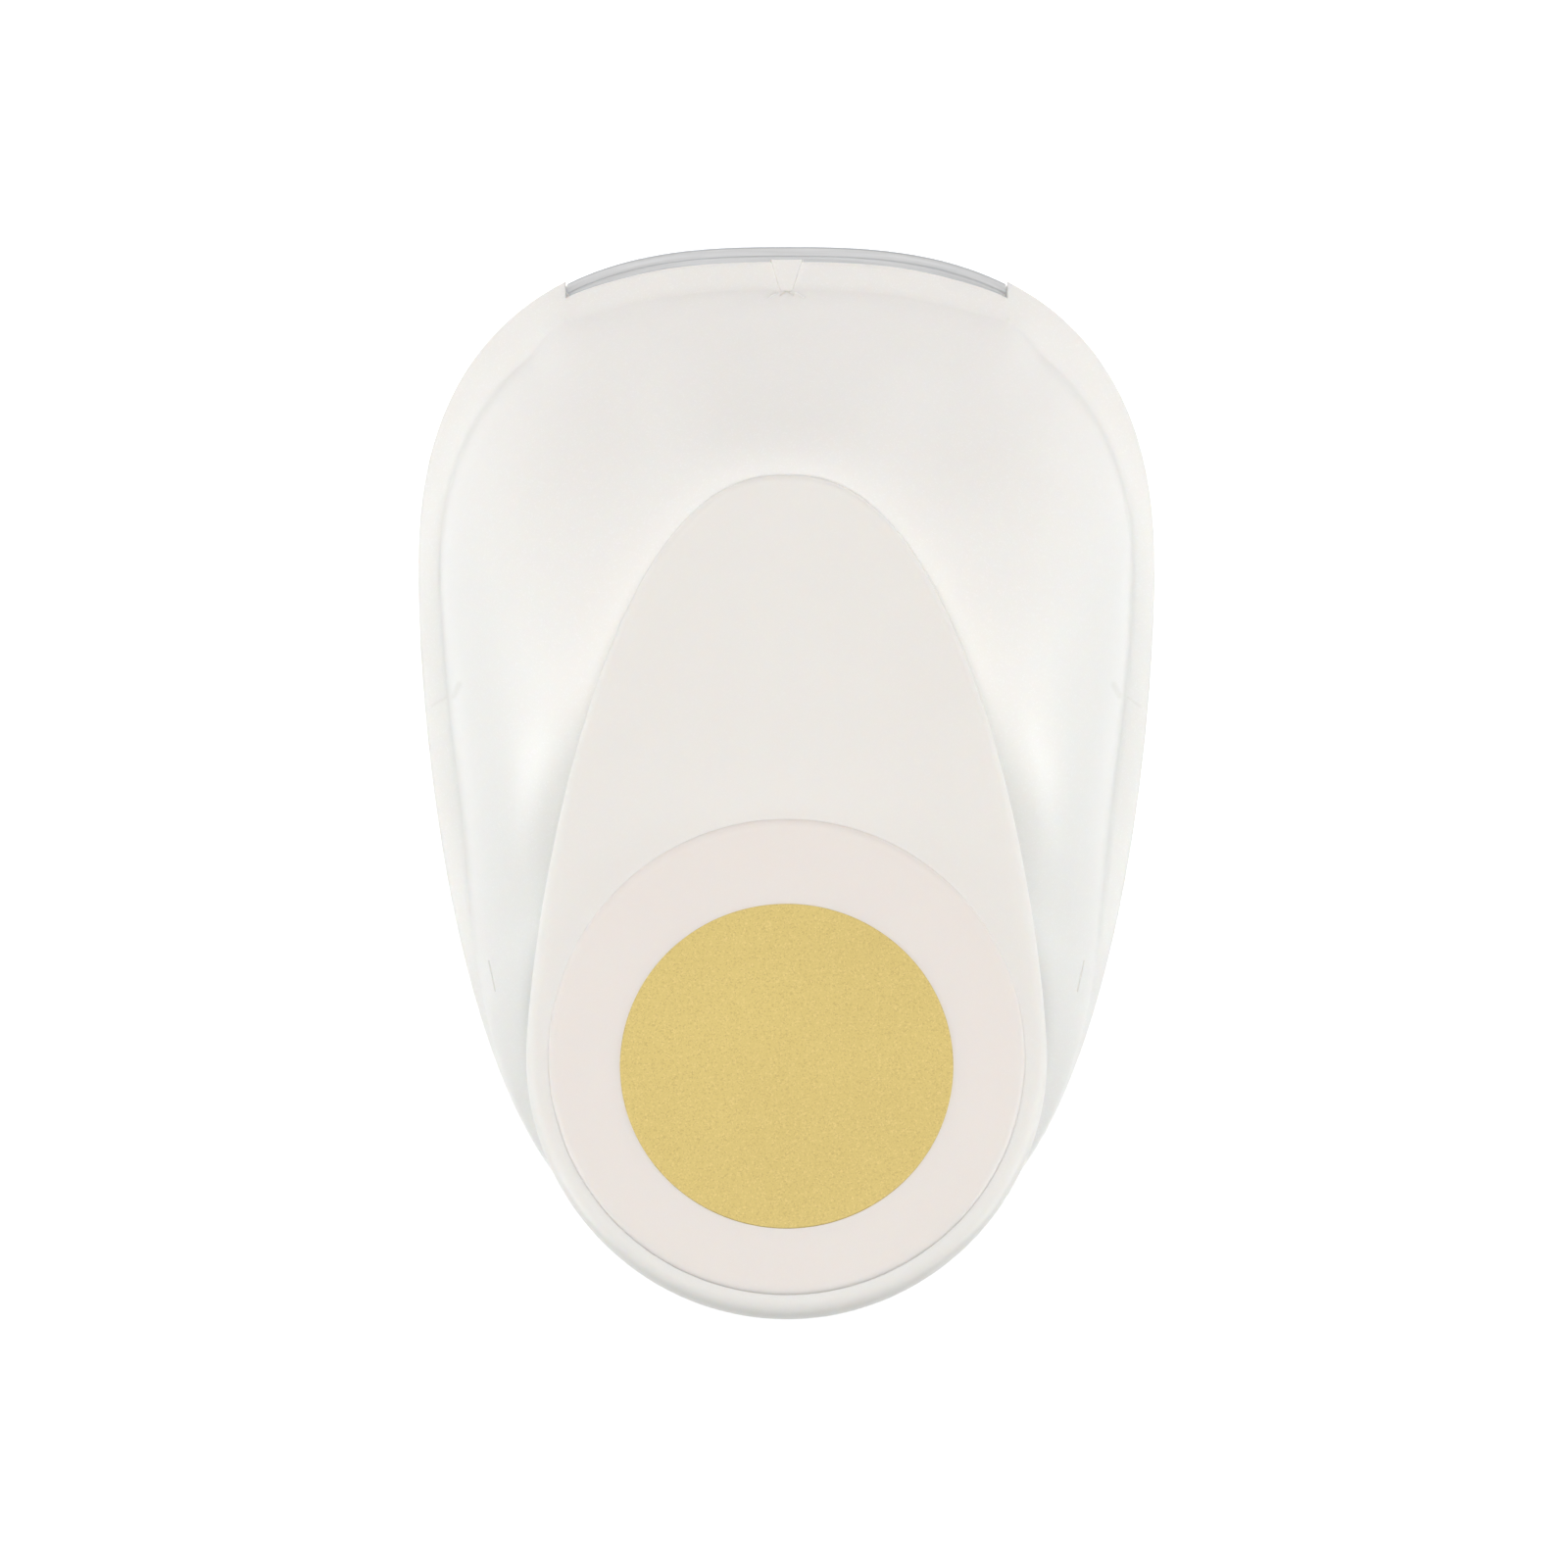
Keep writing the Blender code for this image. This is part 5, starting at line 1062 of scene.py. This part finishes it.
# %% Sheet parts
def sheet_part(node, body, finish, width=0.00015):
    """Copy of a node with merged points, flat faces joined, and a narrow bevel on its edges."""
    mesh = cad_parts[node].data.copy()
    shape = bmesh.new()
    shape.from_mesh(mesh)
    bmesh.ops.remove_doubles(shape, verts=shape.verts, dist=1e-6)
    bmesh.ops.dissolve_limit(shape, angle_limit=math.radians(1), verts=shape.verts, edges=shape.edges)
    shape.to_mesh(mesh)
    shape.free()
    piece = add_object(node + "_sheet", mesh)
    bevel = piece.modifiers.new("worn edge", "BEVEL")
    bevel.width = width
    bevel.segments = 2
    bevel.limit_method = "ANGLE"
    bevel.angle_limit = math.radians(40)
    mesh.shade_smooth()
    mesh.set_sharp_from_angle(angle=math.radians(40))
    dress(piece, body, *finish, node)


for node in ("guide_plate", "spacer_left", "spacer_right"):
    sheet_part(node, "housing", ground)
sheet_part("punch_carrier", "punch", plated)
sheet_part("lever_arm", "lever", plated)
shown = sorted(name for name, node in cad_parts.items() if not node.hide_render)
print("nodes still shown as they are:", shown)

# %% [markdown]
# ## Table, light and camera
#
# The punch stands on white paper in a softly lit room. A large softbox hangs high towards the mouth. On each
# side are a long softbox and a lower one, so that the sides of the dome and the edges of the lever are
# brightest. The table glows a little for the camera alone, so that it looks white without lighting the punch
# more, and it still takes the punch's shadow.

# %% Floor
TABLE_GLOW = 0.60
TABLE_HALF = 3


def floor_material():
    """White paper: for the camera part of it is plain light, and the rest answers to the lamps and shadow."""
    material, tree, shader, place = blank_material("white paper", 0.9)
    shader.inputs["Base Color"].default_value = (0.86, 0.86, 0.86, 1)
    relief(tree, shader, noise(tree, place, 900, 3), 0.00002, 0.2)
    paths = tree.nodes.new("ShaderNodeLightPath").outputs
    seen = arithmetic(tree, "MAXIMUM", paths["Is Camera Ray"], paths["Is Glossy Ray"])
    shader.inputs["Emission Color"].default_value = (1, 1, 1, 1)
    tree.links.new(arithmetic(tree, "MULTIPLY", seen, TABLE_GLOW), shader.inputs["Emission Strength"])
    return material


floor_points = [(x * TABLE_HALF, y * TABLE_HALF, 0) for x, y in ((-1, -1), (1, -1), (1, 1), (-1, 1))]
floor_mesh = bpy.data.meshes.new("table")
floor_mesh.from_pydata(floor_points, [], [(0, 1, 2, 3)])
floor_mesh.materials.append(floor_material())
floor = add_object("table", floor_mesh)


# %% Lamps and world
CLEAR = (1.0, 0.962, 0.955)
COOL = (0.93, 0.975, 0.985)


def lamp(name, place, target, size, power, colour):
    """Rectangular area lamp that faces a target."""
    data = bpy.data.lights.new(name, "AREA")
    data.shape = "RECTANGLE"
    data.size, data.size_y = size
    data.energy = power
    data.color = colour
    light = add_object(name, data)
    aim = np.array(target) - np.array(place)
    light.location = place
    light.rotation_euler = (
        math.atan2(math.hypot(aim[0], aim[1]), -aim[2]),
        0,
        math.atan2(aim[1], aim[0]) - math.pi / 2,
    )
    return light


for side, name in ((1, "left"), (-1, "right")):
    lamp(name + " softbox", (side * 0.72, 0, 0.37), (0, 0, 0.02), (0.16, 1.4), 1.4, COOL)
    lamp(name + " low softbox", (side * 0.72, 0.32, 0.20), (0, 0, 0.02), (0.3, 0.7), 2.7, COOL)
overhead = lamp("overhead softbox", (0, -0.55, 1.3), (0, 0, 0.02), (1.0, 1.0), 14.7, CLEAR)
overhead.visible_glossy = False


def white_room(soft, mirrored):
    """World that the camera sees as plain white. The piece is lit softly by it and mirrors more of it, and
    both change along the punch (the y of the direction): most at the mouth's side, none at the pad's."""
    world = bpy.data.worlds.new("white room")
    world.use_nodes = True
    tree = world.node_tree
    room = tree.nodes["Background"]
    room.inputs["Color"].default_value = (1.0, 0.93, 0.87, 1)
    paths = tree.nodes.new("ShaderNodeLightPath").outputs
    facing = tree.nodes.new("ShaderNodeTexCoord").outputs["Generated"]
    along = add_node(tree, "ShaderNodeSeparateXYZ", {"Vector": facing}).outputs["Y"]
    ramp = add_node(tree, "ShaderNodeValToRGB", {"Fac": spread(tree, along, 0, 1, -1, 1)})
    stops = ((0.0, 0.3), (0.25, 0.8), (0.5, 0.8), (0.75, 0.15), (1.0, 0.0))
    while len(ramp.color_ramp.elements) < len(stops):
        ramp.color_ramp.elements.new(0.5)
    for element, (place, level) in zip(ramp.color_ramp.elements, stops):
        element.position = place
        element.color = (level, level, level, 1)
    share = spread(tree, paths["Is Glossy Ray"], soft, mirrored, 0, 1)
    amount = arithmetic(tree, "MULTIPLY", ramp.outputs["Color"], share)
    tree.links.new(arithmetic(tree, "MAXIMUM", amount, paths["Is Camera Ray"]), room.inputs["Strength"])
    return world


bpy.context.scene.world = white_room(soft=0.10, mirrored=1.27)

# %% Camera
camera_data = bpy.data.cameras.new("camera")
camera_data.lens = 171.1
camera_data.sensor_width = 36
camera = add_object("camera", camera_data)
camera.location = (0.00026, 0.0020, 0.800)
camera.rotation_euler = (0, 0, math.pi)
bpy.context.scene.camera = camera
bpy.context.scene.view_settings.view_transform = "Standard"
